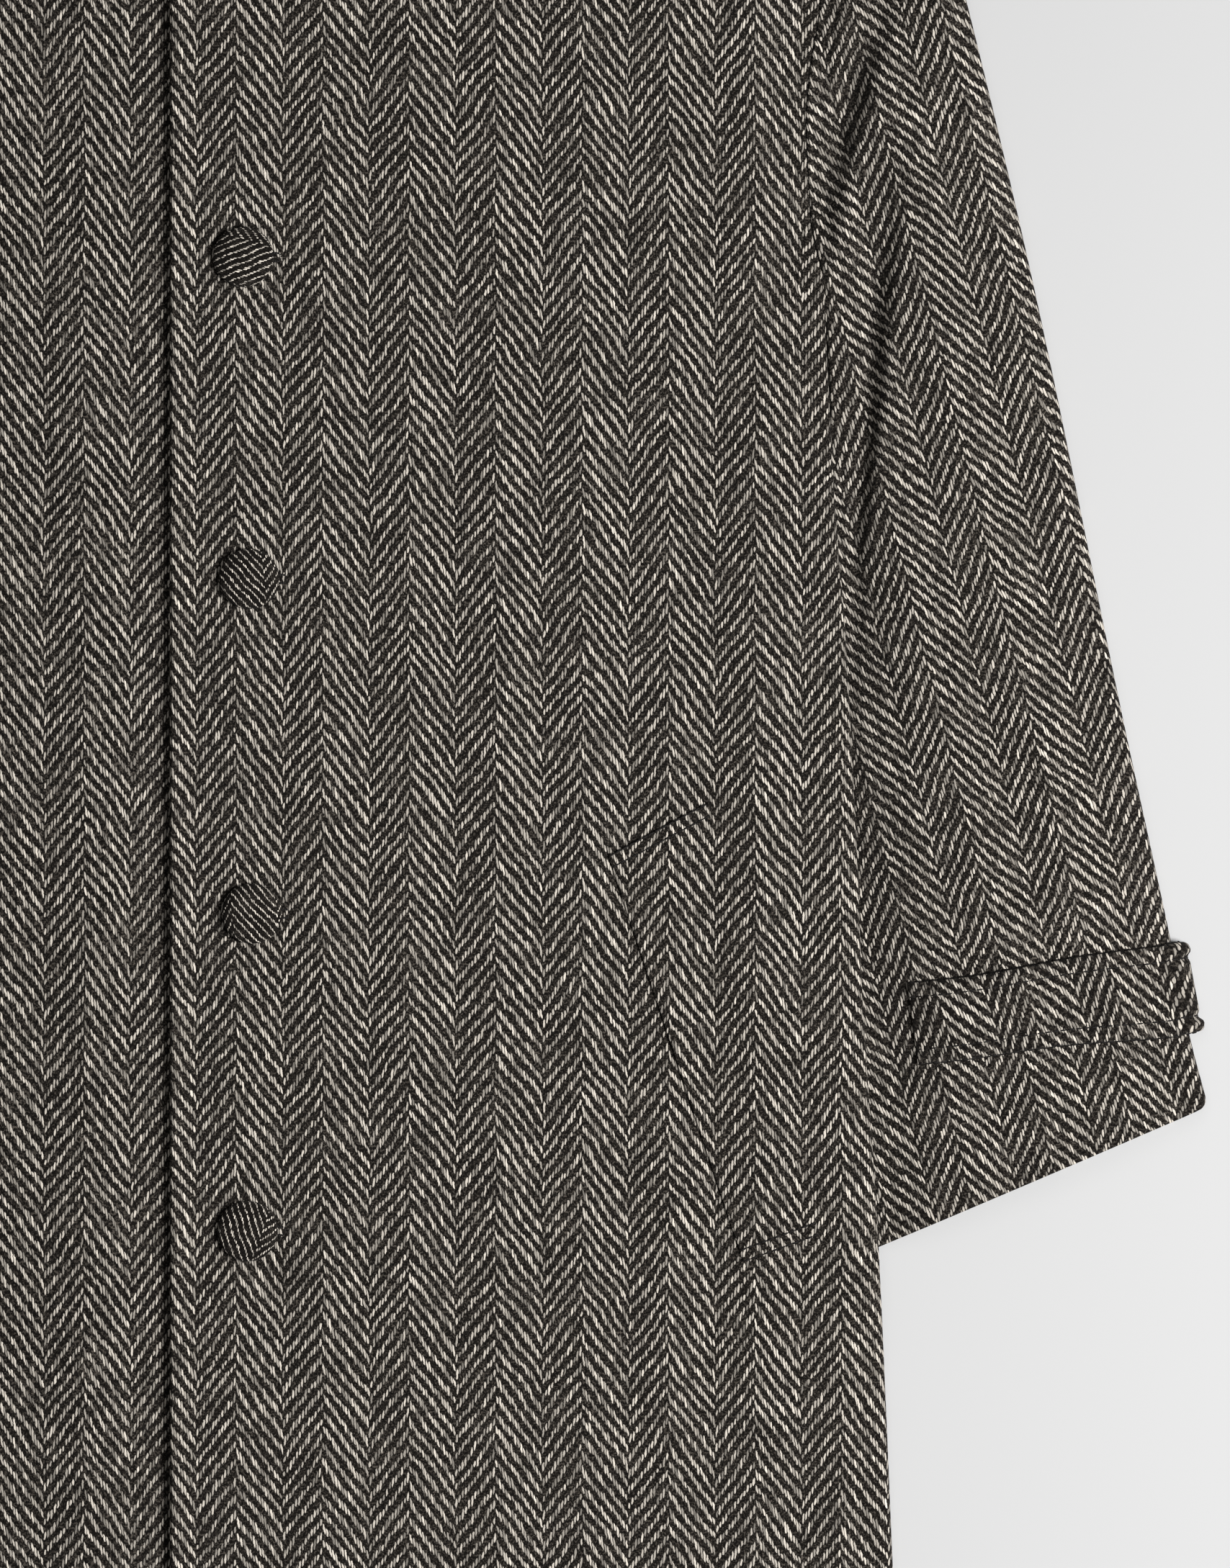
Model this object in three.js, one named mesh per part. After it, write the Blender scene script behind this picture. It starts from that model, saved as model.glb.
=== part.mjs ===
// A single-breasted tweed coat, buttoned and laid flat on its back with the sleeves down.
//
// Millimetres, +Z up. X runs across the coat from the centre front, with +X on the wearer's
// left, whose front lies on top. "down" is measured down the coat from the point where the
// shoulder meets the neck, "across" outwards from the centre front, and heights from the
// surface that the coat lies on. Every piece of cloth is a wall round a middle surface.

import * as THREE from 'three';

// Cloth and how it lies
const cloth = 2.4;
const seamGap = 0.3;
const loft = 3.6;
const half = cloth / 2;
const backLevel = half;
const frontLevel = cloth + loft + half;
const tuckedLevel = cloth + seamGap + half;

// Body
const bodyLength = 1100;
const pitDown = 285;
const neckHalfWidth = 88;
const frontNeckDrop = 95;
const backNeckDrop = 20;
const shoulderHalfWidth = 268.7;
const shoulderDrop = 55;
const frontOverlap = 36;
const edgeStrip = 4;
const sideClosed = 318;

// Under the coat: a sleeve's inner edge lies beneath the side of the body
const sleeveUnderSide = { start: 345, full: 398, end: 745, clear: 800 };
const sideRamp = { start: 62, middle: 34, end: 6 };
const leastTuck = 15;
const sleeveSink = { start: 372, full: 400, outside: 28, inside: 3 };
const sideLift = tuckedLevel + half + seamGap;
const frontRise = 2.7;
const frontSink = { start: 62, end: 40 };

// Collar, turned down
const standTopHalfWidth = 80;
const standTop = -38;
const frontRollDrop = 104;
const backRollDrop = 18;
const collarPoint = { across: 58, down: 128 };
const fallSide = { across: 143, down: 16.7 };
const fallBackDrop = 28;
const fallCurve = { across: 118, down: 78 };
const neckLiftArea = { across: 225, down: 75, above: 20, full: 1.15, clear: 1.4 };
const collarGap = 1.5;
const rollAboveStand = 4.2;

// Buttons, welts and sleeve straps
const button = {
  radius: 14, height: 8, rimHeight: 3, footRadius: 9.5, underRadius: 13, underHeight: 1.6, fullness: 0.7,
};
const welt = {
  thickness: 1.2,
  topIn: [167, 553.3],
  topOut: [213.7, 528.3],
  lowIn: [229.3, 740.7],
  lowOut: [266, 727.3],
};
const strap = { thickness: 3, width: 37, start: [307.5, 630.5], end: [437, 613.5], bow: 2.5, wrap: -30 };

const armhole = [
  { down: 55, across: 268.7 },
  { down: 110, across: 267 },
  { down: 162, across: 264.3 },
  { down: 185, across: 260.5 },
  { down: 212, across: 258.2 },
  { down: 240, across: 259.4 },
  { down: 263, across: 261 },
  { down: 285, across: 266.3 },
];

const sideSeam = [
  { down: 285, across: 266.3 },
  { down: 343, across: 269.3 },
  { down: 403, across: 272.7 },
  { down: 440, across: 276 },
  { down: 551, across: 282 },
  { down: 615, across: 284.5 },
  { down: 734, across: 292 },
  { down: 883, across: 298.7 },
  { down: 1100, across: 308 },
];

// How far the sleeve's inner edge lies beneath the side of the body
const tuck = [
  { down: 285, under: -0.35 },
  { down: 400, under: -0.35 },
  { down: 430, under: 14 },
  { down: 465, under: 30 },
  { down: 520, under: 36 },
  { down: 620, under: 25 },
  { down: 700, under: 13 },
  { down: 738, under: 9 },
];

// The outer edge of a sleeve, from the shoulder to the cuff
const sleeveEdge = [
  { down: 58, across: 275 },
  { down: 64, across: 285 },
  { down: 80, across: 302 },
  { down: 120, across: 322 },
  { down: 156.7, across: 332.7 },
  { down: 292.7, across: 364.7 },
  { down: 488.3, across: 405 },
  { down: 590.3, across: 427 },
  { down: 635.7, across: 436 },
  { down: 669, across: 444.7 },
];

// Sections of a sleeve: where each starts on the inner side and ends on the outer edge
const sleeveSections = [
  { inner: 60, outer: 58 },
  { inner: 64.1, outer: 64 },
  { inner: 79.6, outer: 72 },
  { inner: 100, outer: 84 },
  { inner: 140, outer: 108 },
  { inner: 185, outer: 140 },
  { inner: 225, outer: 170 },
  { inner: 260, outer: 198 },
  { inner: 285, outer: 219 },
  { inner: 300, outer: 232 },
  { inner: 318, outer: 248 },
  { inner: 345, outer: 272 },
  { inner: 372, outer: 297 },
  { inner: 400, outer: 323 },
  { inner: 430, outer: 352 },
  { inner: 465, outer: 386 },
  { inner: 520, outer: 441 },
  { inner: 590, outer: 515 },
  { inner: 650, outer: 579 },
  { inner: 700, outer: 631 },
  { inner: 738, outer: 669 },
];

// Folds of the sleeve below the shoulder and beside the armhole, by the line of the fold
const foldFade = { above: 30, below: 40 };
const sleeveFolds = [
  {
    reach: { in: 13, out: 20 },
    line: [
      { down: 150, across: 299, depth: 0.8 },
      { down: 183, across: 287, depth: 1.5 },
      { down: 215, across: 278, depth: 1.9 },
      { down: 240, across: 270.5, depth: 1.7 },
      { down: 272, across: 266, depth: 0.6 },
    ],
  },
  {
    reach: { in: 24, out: 26 },
    line: [
      { down: 245, across: 301, depth: 0.4 },
      { down: 290, across: 295.5, depth: 2.4 },
      { down: 330, across: 292.5, depth: 3.3 },
      { down: 377, across: 284, depth: 3.3 },
      { down: 413, across: 278.5, depth: 2.8 },
      { down: 470, across: 279, depth: 1 },
    ],
  },
];

const buttonPlaces = [
  { down: 125.3, across: 0 },
  { down: 275.7, across: -2 },
  { down: 424.7, across: 0.7 },
  { down: 579.7, across: 2 },
  { down: 726.7, across: 0 },
];

const middleDown = (bodyLength + standTop - rollAboveStand) / 2;

function smooth(from, to, value) {
  const t = Math.min(1, Math.max(0, (value - from) / (to - from)));
  return t * t * (3 - 2 * t);
}

function mix(from, to, t) {
  return from + (to - from) * t;
}

// Reads one column of a table at a value of its "down" column, along a smooth curve
function read(table, column, down) {
  const last = table.length - 1;
  if (down <= table[0].down) return table[0][column];
  if (down >= table[last].down) return table[last][column];
  let i = 0;
  while (table[i + 1].down < down) i += 1;
  const slope = (k) => {
    const before = table[Math.max(0, k - 1)];
    const after = table[Math.min(last, k + 1)];
    return (after[column] - before[column]) / (after.down - before.down);
  };
  const span = table[i + 1].down - table[i].down;
  const t = (down - table[i].down) / span;
  const a = table[i][column];
  const b = table[i + 1][column];
  const rise = b - a;
  const ta = slope(i) * span - rise;
  const tb = -slope(i + 1) * span + rise;
  return mix(a, b, t) + t * (1 - t) * (ta * (1 - t) + tb * t);
}

// The outer edge of the body: its armhole down to the pit, and its side below
function bodyEdge(down) {
  return down < pitDown ? read(armhole, 'across', down) : read(sideSeam, 'across', down);
}

function sleeveInnerEdge(down) {
  if (down < pitDown) return bodyEdge(down) + seamGap;
  return bodyEdge(down) - read(tuck, 'under', down);
}

// 0 where the side of the body lies on the surface, 1 where it lies over a sleeve
function sideOverSleeve(across, down) {
  const inner = tuckLine(down);
  const { start, full, end, clear } = sleeveUnderSide;
  const lengthwise = smooth(start, full, down) * (1 - smooth(end, clear, down));
  return lengthwise * smooth(inner - sideRamp.start, inner - sideRamp.end, across);
}

// The sleeve's inner edge under the body, carried on past the sleeve for the back and fronts
function tuckLine(down) {
  const wide = Math.max(leastTuck, read(tuck, 'under', down));
  return bodyEdge(Math.max(pitDown, down)) - wide;
}

function neckLift(across, down) {
  const area = neckLiftArea;
  const reach = Math.hypot(across / area.across, (down + area.above) / area.down);
  return 1 - smooth(area.full, area.clear, reach);
}

function backHeight(across, down) {
  const collar = (cloth + seamGap) * neckLift(across, down);
  return backLevel + sideLift * sideOverSleeve(across, down) + collar;
}

function frontHeight(across, down) {
  return frontLevel + frontRise * sideOverSleeve(across, down);
}

// The under front sinks to the back where the other front crosses it
function underFrontHeight(across, down) {
  const sink = (frontLevel - tuckedLevel) * smooth(frontSink.start, frontSink.end, across);
  return frontHeight(across, down) - sink;
}

function foldDepth(across, down) {
  let depth = 0;
  for (const { reach, line } of sleeveFolds) {
    const first = line[0].down;
    const last = line[line.length - 1].down;
    const fadeIn = smooth(first - foldFade.above, first, down);
    const fadeOut = 1 - smooth(last, last + foldFade.below, down);
    const away = across - read(line, 'across', down);
    const side = away < 0 ? -away / reach.in : away / reach.out;
    depth = Math.max(depth, read(line, 'depth', down) * fadeIn * fadeOut * (1 - smooth(0, 1, side)));
  }
  return depth;
}

// The top of the sleeve sinks along its folds, and to slip beneath the side of the body
function sleeveHeight(across, down) {
  const edge = bodyEdge(down);
  const { start, full, outside, inside } = sleeveSink;
  const under = smooth(start, full, down) * smooth(edge + outside, edge + inside, across);
  const sink = Math.max((frontLevel - tuckedLevel) * under, foldDepth(across, down));
  return frontLevel - sink;
}

// A point of a middle surface, and the way in which the wall's outer face lies from it
function clothPoint(across, down, height, out = new THREE.Vector3(0, 0, 1)) {
  return { at: new THREE.Vector3(across, middleDown - down, height), out: out.clone() };
}

function blendPoints(a, b, t) {
  return { at: a.at.clone().lerp(b.at, t), out: a.out.clone().lerp(b.out, t).normalize() };
}

function mirrored(rows) {
  return rows.map((row) => row.map(({ at, out }) => ({
    at: new THREE.Vector3(-at.x, at.y, at.z),
    out: new THREE.Vector3(-out.x, out.y, out.z),
  })));
}

// A rolled edge of a layer that meets the other layer halfway up. turn is 0 where the roll
// starts and 1 at the seam; up is 1 for the top layer and -1 for the bottom one.
function rolledPoint(edge, outward, topHeight, bottomHeight, up, turn) {
  const radius = (topHeight - bottomHeight) / 2;
  const angle = turn * Math.PI / 2;
  const middle = (topHeight + bottomHeight) / 2;
  const reach = radius * Math.sin(angle) - radius - half;
  const lift = turn === 1 ? seamGap / 2 : radius * Math.cos(angle);
  const out = new THREE.Vector3(
    outward.x * Math.sin(angle), outward.y * Math.sin(angle), up * Math.cos(angle));
  return {
    at: new THREE.Vector3(edge.x + outward.x * reach, edge.y + outward.y * reach, middle + up * lift),
    out,
  };
}

const rollTurns = [0, 0.5, 1];
const rollReach = (frontLevel - backLevel) / 2 + half;

// Turns rows of points into a closed wall
function wall(name, rows, thickness, material) {
  const rowCount = rows.length;
  const count = rows[0].length;
  const positions = [];
  for (const side of [1, -1]) {
    for (const row of rows) {
      for (const { at, out } of row) {
        positions.push(...at.clone().addScaledVector(out, side * thickness / 2).toArray());
      }
    }
  }
  const top = (i, j) => i * count + j;
  const low = (i, j) => rowCount * count + i * count + j;
  const faces = [];
  const quad = (a, b, c, d) => faces.push([a, b, c], [a, c, d]);
  for (let i = 0; i < rowCount - 1; i += 1) {
    for (let j = 0; j < count - 1; j += 1) {
      quad(top(i, j), top(i, j + 1), top(i + 1, j + 1), top(i + 1, j));
      quad(low(i, j), low(i + 1, j), low(i + 1, j + 1), low(i, j + 1));
    }
  }
  for (let j = 0; j < count - 1; j += 1) {
    const end = rowCount - 1;
    quad(low(0, j), low(0, j + 1), top(0, j + 1), top(0, j));
    quad(top(end, j), top(end, j + 1), low(end, j + 1), low(end, j));
  }
  for (let i = 0; i < rowCount - 1; i += 1) {
    const end = count - 1;
    quad(top(i, 0), top(i + 1, 0), low(i + 1, 0), low(i, 0));
    quad(low(i, end), low(i + 1, end), top(i + 1, end), top(i, end));
  }
  const corner = (k) => new THREE.Vector3().fromArray(positions, k * 3);
  const volume = faces.reduce((sum, [a, b, c]) => sum + corner(a).dot(corner(b).cross(corner(c))), 0);
  if (volume < 0) faces.forEach((face) => face.reverse());
  const geometry = new THREE.BufferGeometry();
  geometry.setAttribute('position', new THREE.Float32BufferAttribute(positions, 3));
  geometry.setIndex(faces.flat());
  geometry.computeVertexNormals();
  const mesh = new THREE.Mesh(geometry, material);
  mesh.name = name;
  return mesh;
}

// The body: where its rows and columns of points lie
const neckColumns = [24, 40, 51, 62, 72, 80, 85, 88];
const shoulderColumns = [120, 152];
const shoulderRows = [0.12, 0.5, 0.78, 1];
const bodyRows = [
  140, 185, 225, 260, 285, 300, 318, 345, 372, 400, 430, 465, 540, 620, 700, 745, 772, 800, 950, 1100,
];
const firstWholeRow = 100;
const rampColumn = 184;
const neckRowStep = 1.4;

function neckline(across, drop) {
  const inside = Math.min(1, Math.abs(across) / neckHalfWidth);
  return drop * Math.sqrt(1 - inside * inside);
}

function shoulderLine(across) {
  return shoulderDrop * (across - neckHalfWidth) / (shoulderHalfWidth - neckHalfWidth);
}

// One row of columns at a distance down the body, out to the start of the side roll
function columnsAt(down, firstColumns) {
  const start = tuckLine(down) - sideRamp.start;
  const outer = shoulderColumns.map((across) => {
    const t = (across - neckHalfWidth) / (rampColumn - neckHalfWidth);
    return mix(neckHalfWidth, start, t);
  });
  const ramp = [sideRamp.start, sideRamp.middle, sideRamp.end].map((inside) => tuckLine(down) - inside);
  return [...firstColumns, ...neckColumns, ...outer, ...ramp];
}

// Points of half a body layer. up is 1 for a front and -1 for the back.
function bodyLayer({ firstColumns, neckDrop, height, up }) {
  const level = new THREE.Vector3(0, 0, up);
  const topHeight = (across, down) => (up > 0 ? height(across, down) : frontHeight(across, down));
  const bottomHeight = (across, down) => (up > 0 ? backHeight(across, down) : height(across, down));

  const sidePoints = (down, heightAt) => rollTurns.map((turn) => {
    const edge = bodyEdge(down);
    const flat = edge - edgeStrip * (1 - turn);
    const plain = clothPoint(flat, down, heightAt(flat, down), level);
    const closed = smooth(pitDown, sideClosed, down);
    if (closed === 0) return plain;
    const outward = new THREE.Vector3(1, 0, 0);
    const corner = new THREE.Vector3(edge, middleDown - down, 0);
    const rolled = rolledPoint(corner, outward, topHeight(edge, down), bottomHeight(edge, down), up, turn);
    return blendPoints(plain, rolled, closed);
  });

  const flatRow = (down) => [
    ...columnsAt(down, firstColumns).map((across) => clothPoint(across, down, height(across, down), level)),
    ...sidePoints(down, height),
  ];

  const tops = columnsAt(firstWholeRow, firstColumns);
  const armholeTops = rollTurns.map((turn) => shoulderHalfWidth - edgeStrip * (1 - turn));
  const allTops = [...tops, ...armholeTops];
  const topDown = (across) => (across < neckHalfWidth ? neckline(across, neckDrop) : shoulderLine(across));

  const shoulderPoint = (across, turn) => {
    const ridge = topDown(across);
    if (across < neckHalfWidth) {
      return clothPoint(across, ridge + neckRowStep * (1 - turn), height(across, ridge), level);
    }
    const outward = new THREE.Vector3(0, 1, 0);
    const corner = new THREE.Vector3(across, middleDown - ridge, 0);
    return rolledPoint(corner, outward, topHeight(across, ridge), bottomHeight(across, ridge), up, turn);
  };

  const rows = [...rollTurns].reverse().map((turn) => allTops.map((across) => shoulderPoint(across, turn)));
  for (const t of shoulderRows.slice(0, -1)) {
    rows.push(allTops.map((across) => {
      const down = mix(topDown(across) + rollReach, firstWholeRow, t);
      const isArmhole = across > shoulderHalfWidth - 5;
      const place = isArmhole ? across - shoulderHalfWidth + bodyEdge(down) : across;
      return clothPoint(place, down, height(place, down), level);
    }));
  }
  rows.push(flatRow(firstWholeRow));
  bodyRows.forEach((down) => rows.push(flatRow(down)));
  return rows;
}

function makeFront(name, side, height) {
  const rows = bodyLayer({ firstColumns: [-frontOverlap, -24, 0], neckDrop: frontNeckDrop, height, up: 1 });
  return wall(name, side > 0 ? rows : mirrored(rows), cloth, tweed(0x5b5650));
}

function makeBack() {
  const rows = bodyLayer({ firstColumns: [0], neckDrop: backNeckDrop, height: backHeight, up: -1 });
  const others = mirrored(rows);
  const whole = rows.map((row, i) => [...others[i].slice(1).reverse(), ...row]);
  return wall('back', whole, cloth, tweed(0x57524c));
}

// A sleeve: its columns lie close together beside the body and spread out beyond
const besideBody = [3, 10, 21, 34];
const spreadOut = [0.25, 0.5, 0.75];
const sleeveMargin = { inner: 5, outer: 8, nearShare: 0.45, edgeShare: 0.2 };

// A sleeve layer, from the top of the armhole to the cuff. up is 1 for the top sleeve.
function sleeveLayer(up) {
  const level = new THREE.Vector3(0, 0, up);
  const height = (across, down) => (up > 0 ? sleeveHeight(across, down) : backLevel);
  return sleeveSections.map(({ inner, outer }) => {
    const from = new THREE.Vector2(sleeveInnerEdge(inner), inner);
    const to = new THREE.Vector2(read(sleeveEdge, 'across', outer), outer);
    const line = to.clone().sub(from);
    const length = line.length();
    line.normalize();
    const placeAt = (distance) => from.clone().addScaledVector(line, distance);
    const flatAt = (distance) => {
      const place = placeAt(distance);
      return clothPoint(place.x, place.y, height(place.x, place.y), level);
    };
    const rollAt = (distance, sign, turn) => {
      const place = placeAt(distance);
      const inside = placeAt(distance - sign * edgeStrip);
      const corner = new THREE.Vector3(place.x, middleDown - place.y, 0);
      const outward = new THREE.Vector3(sign * line.x, -sign * line.y, 0);
      return rolledPoint(corner, outward, sleeveHeight(inside.x, inside.y), backLevel, up, turn);
    };
    const closed = smooth(pitDown, sideClosed, inner);
    const innerPoints = [...rollTurns].reverse().map((turn) => {
      const plain = flatAt(Math.min(edgeStrip, length * sleeveMargin.edgeShare) * (1 - turn));
      return closed === 0 ? plain : blendPoints(plain, rollAt(0, -1, turn), closed);
    });
    const outerPoints = rollTurns.map((turn) => rollAt(length, 1, turn));
    const nearEdge = besideBody.map((beyond) => {
      let distance = 0;
      for (let k = 0; k < 6; k += 1) {
        const place = placeAt(distance);
        distance = Math.max(0, (Math.max(from.x, bodyEdge(place.y)) + beyond - from.x) / line.x);
      }
      return Math.max(sleeveMargin.inner, distance);
    });
    const room = length - sleeveMargin.outer;
    const farthest = nearEdge[nearEdge.length - 1];
    const lastNear = Math.min(farthest, room * sleeveMargin.nearShare);
    const scale = lastNear / farthest;
    const flats = [
      ...nearEdge.map((distance) => distance * scale),
      ...spreadOut.map((t) => mix(lastNear, room, t)),
    ];
    return [...innerPoints, ...flats.map(flatAt), ...outerPoints];
  });
}

function makeSleevePiece(name, side, up) {
  const rows = sleeveLayer(up);
  return wall(name, side > 0 ? rows : mirrored(rows), cloth, tweed(up > 0 ? 0x5e5953 : 0x504b46));
}

// A strap lies on the top sleeve, turns round its outer edge and ends in the seam there
function makeStrap(name, side) {
  const start = new THREE.Vector2(...strap.start);
  const end = new THREE.Vector2(...strap.end);
  const line = end.clone().sub(start).normalize();
  const across = new THREE.Vector2(-line.y, line.x);
  const middleRadius = rollReach + seamGap + strap.thickness / 2;
  const middleHeight = (frontLevel + backLevel) / 2;
  const rows = [-0.5, -0.3, 0, 0.3, 0.5].map((t) => {
    const offset = t * strap.width;
    const from = start.clone().addScaledVector(across, offset);
    let reach = 0;
    for (let k = 0; k < 8; k += 1) {
      const place = from.clone().addScaledVector(line, reach);
      reach += (read(sleeveEdge, 'across', place.y) - place.x) / line.x;
    }
    const flatEnd = reach - rollReach;
    const flats = [0, 0.15, 0.3, 0.45, 0.6, 0.75, 0.88].map((s) => {
      const place = from.clone().addScaledVector(line, s * flatEnd);
      const height = sleeveHeight(place.x, place.y) + half + seamGap + strap.thickness / 2;
      return clothPoint(place.x, place.y, height);
    });
    const turns = [90, 65, 40, 15, -8, strap.wrap].map((degrees) => {
      const angle = degrees * Math.PI / 180;
      const bow = strap.bow * Math.cos(angle * 0.9) ** 2;
      const distance = flatEnd + middleRadius * Math.cos(angle) + bow;
      const place = from.clone().addScaledVector(line, distance);
      const out = new THREE.Vector3(
        line.x * Math.cos(angle), -line.y * Math.cos(angle), Math.sin(angle));
      return clothPoint(place.x, place.y, middleHeight + middleRadius * Math.sin(angle), out);
    });
    return [...flats, ...turns];
  });
  return wall(name, side > 0 ? rows : mirrored(rows), strap.thickness, tweed(0x625c56));
}

// A welt lies on its front, a step to the side of the pocket's mouth
function makeWelt(name, side, height) {
  const corner = ([across, down]) => new THREE.Vector2(across, down);
  const rows = [0, 0.2, 0.4, 0.6, 0.8, 1].map((t) => {
    const inside = corner(welt.topIn).lerp(corner(welt.lowIn), t);
    const outside = corner(welt.topOut).lerp(corner(welt.lowOut), t);
    return [0, 0.33, 0.67, 1].map((s) => {
      const place = inside.clone().lerp(outside, s);
      const lift = half + seamGap + welt.thickness / 2;
      return clothPoint(place.x, place.y, height(place.x, place.y) + lift);
    });
  });
  return wall(name, side > 0 ? rows : mirrored(rows), welt.thickness, tweed(0x625c56));
}

const collarAngles = neckColumns.map((across) => Math.asin(across / neckHalfWidth));
const frontAngle = Math.asin(collarGap / neckHalfWidth);

// Points of half a collar piece, from the centre front round the side to the centre back
function collarHalf({ front, back, fold, radius, middle, steps }) {
  return steps.map((t) => {
    const frontPoints = [frontAngle, ...collarAngles].map((angle) => {
      const { x, y } = front(angle, t);
      return clothPoint(x, y, middle + radius);
    });
    const { corner, outward } = fold(t);
    const foldPoints = [45, 0, -45].map((degrees) => {
      const angle = degrees * Math.PI / 180;
      const place = corner.clone().addScaledVector(outward, radius * Math.cos(angle));
      const out = new THREE.Vector3(
        outward.x * Math.cos(angle), -outward.y * Math.cos(angle), Math.sin(angle));
      return clothPoint(place.x, place.y, middle + radius * Math.sin(angle), out);
    });
    const backPoints = [...collarAngles].reverse().concat(0).map((angle) => {
      const { x, y } = back(angle, t);
      return clothPoint(x, y, middle - radius, new THREE.Vector3(0, 0, -1));
    });
    return [...frontPoints, ...foldPoints, ...backPoints];
  });
}

function makeCollarPiece(name, parts) {
  const rows = collarHalf(parts);
  const others = mirrored(rows);
  const whole = rows.map((row, i) => [...row, ...others[i].slice(0, -1).reverse()]);
  return wall(name, whole, cloth, tweed(0x5b5650));
}

// A curve round half the neck, widest at the side
function neckCurve(width, drop, start) {
  return (angle) => new THREE.Vector2(width * Math.sin(angle), start + drop * Math.cos(angle));
}

const frontRoll = neckCurve(standTopHalfWidth, frontRollDrop, standTop);
const backRoll = neckCurve(standTopHalfWidth, backRollDrop, standTop);
const collarMiddle = (frontLevel + backLevel + cloth + seamGap) / 2;
const standRadius = frontLevel - collarMiddle;

// The stand rises from the neck seam to the roll
function makeCollarStand() {
  const inset = 0.4;
  const frontSeam = neckCurve(neckHalfWidth - inset, frontNeckDrop - inset, 0);
  const backSeam = neckCurve(neckHalfWidth - inset, backNeckDrop - inset, 0);
  const seamSide = new THREE.Vector2(neckHalfWidth - inset, 0);
  const rollSide = new THREE.Vector2(standTopHalfWidth, standTop);
  const along = rollSide.clone().sub(seamSide).normalize();
  return makeCollarPiece('collar_stand', {
    front: (angle, t) => frontSeam(angle).lerp(frontRoll(angle), t),
    back: (angle, t) => backSeam(angle).lerp(backRoll(angle), t),
    fold: (t) => ({
      corner: seamSide.clone().lerp(rollSide, t),
      outward: new THREE.Vector2(-along.y, along.x),
    }),
    radius: standRadius,
    middle: collarMiddle,
    steps: [0, 0.5, 1],
  });
}

// The fall turns down from the roll over the fronts, and under the back
function makeCollarFall() {
  const point = new THREE.Vector2(collarPoint.across, collarPoint.down);
  const side = new THREE.Vector2(fallSide.across, fallSide.down);
  const bend = new THREE.Vector2(fallCurve.across, fallCurve.down);
  const frontEdge = new THREE.QuadraticBezierCurve(point, bend, side);
  const backEdge = neckCurve(fallSide.across, fallBackDrop, fallSide.down);
  const rollSide = new THREE.Vector2(standTopHalfWidth, standTop);
  const along = side.clone().sub(rollSide).normalize();
  return makeCollarPiece('collar_fall', {
    front: (angle, t) => {
      const share = (angle - frontAngle) / (Math.PI / 2 - frontAngle);
      return frontRoll(angle).lerp(frontEdge.getPoint(share), t);
    },
    back: (angle, t) => backRoll(angle).lerp(backEdge(angle), t),
    fold: (t) => ({
      corner: rollSide.clone().lerp(side, t),
      outward: new THREE.Vector2(along.y, -along.x),
    }),
    radius: standRadius + cloth + seamGap,
    middle: collarMiddle,
    steps: [0, 0.33, 0.67, 1],
  });
}

// A covered button: a domed cap on a narrower foot
function makeButton(name, { across, down }) {
  const profile = [new THREE.Vector2(0, 0), new THREE.Vector2(button.footRadius, 0)];
  profile.push(new THREE.Vector2(button.underRadius, button.underHeight));
  const dome = button.height - button.rimHeight;
  for (const degrees of [0, 25, 48, 70]) {
    const angle = degrees * Math.PI / 180;
    const radius = button.radius * Math.cos(angle) ** button.fullness;
    profile.push(new THREE.Vector2(radius, button.rimHeight + dome * Math.sin(angle)));
  }
  profile.push(new THREE.Vector2(0, button.height));
  const geometry = new THREE.LatheGeometry(profile, 20);
  geometry.rotateX(Math.PI / 2);
  const mesh = new THREE.Mesh(geometry, tweed(0x4a4641));
  mesh.name = name;
  mesh.position.set(across, middleDown - down, frontLevel + half + seamGap);
  return mesh;
}

function tweed(color) {
  return new THREE.MeshStandardMaterial({ color, roughness: 0.95, metalness: 0 });
}

const coat = new THREE.Group();
coat.add(makeBack());
coat.add(makeFront('front_left', 1, frontHeight));
coat.add(makeFront('front_right', -1, underFrontHeight));
for (const [word, side] of [['left', 1], ['right', -1]]) {
  coat.add(makeSleevePiece(`sleeve_top_${word}`, side, 1));
  coat.add(makeSleevePiece(`sleeve_under_${word}`, side, -1));
  coat.add(makeStrap(`sleeve_strap_${word}`, side));
  coat.add(makeWelt(`pocket_welt_${word}`, side, side > 0 ? frontHeight : underFrontHeight));
}
coat.add(makeCollarStand());
coat.add(makeCollarFall());
buttonPlaces.forEach((place, i) => coat.add(makeButton(`button_${i + 1}`, place)));

export default coat;
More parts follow.
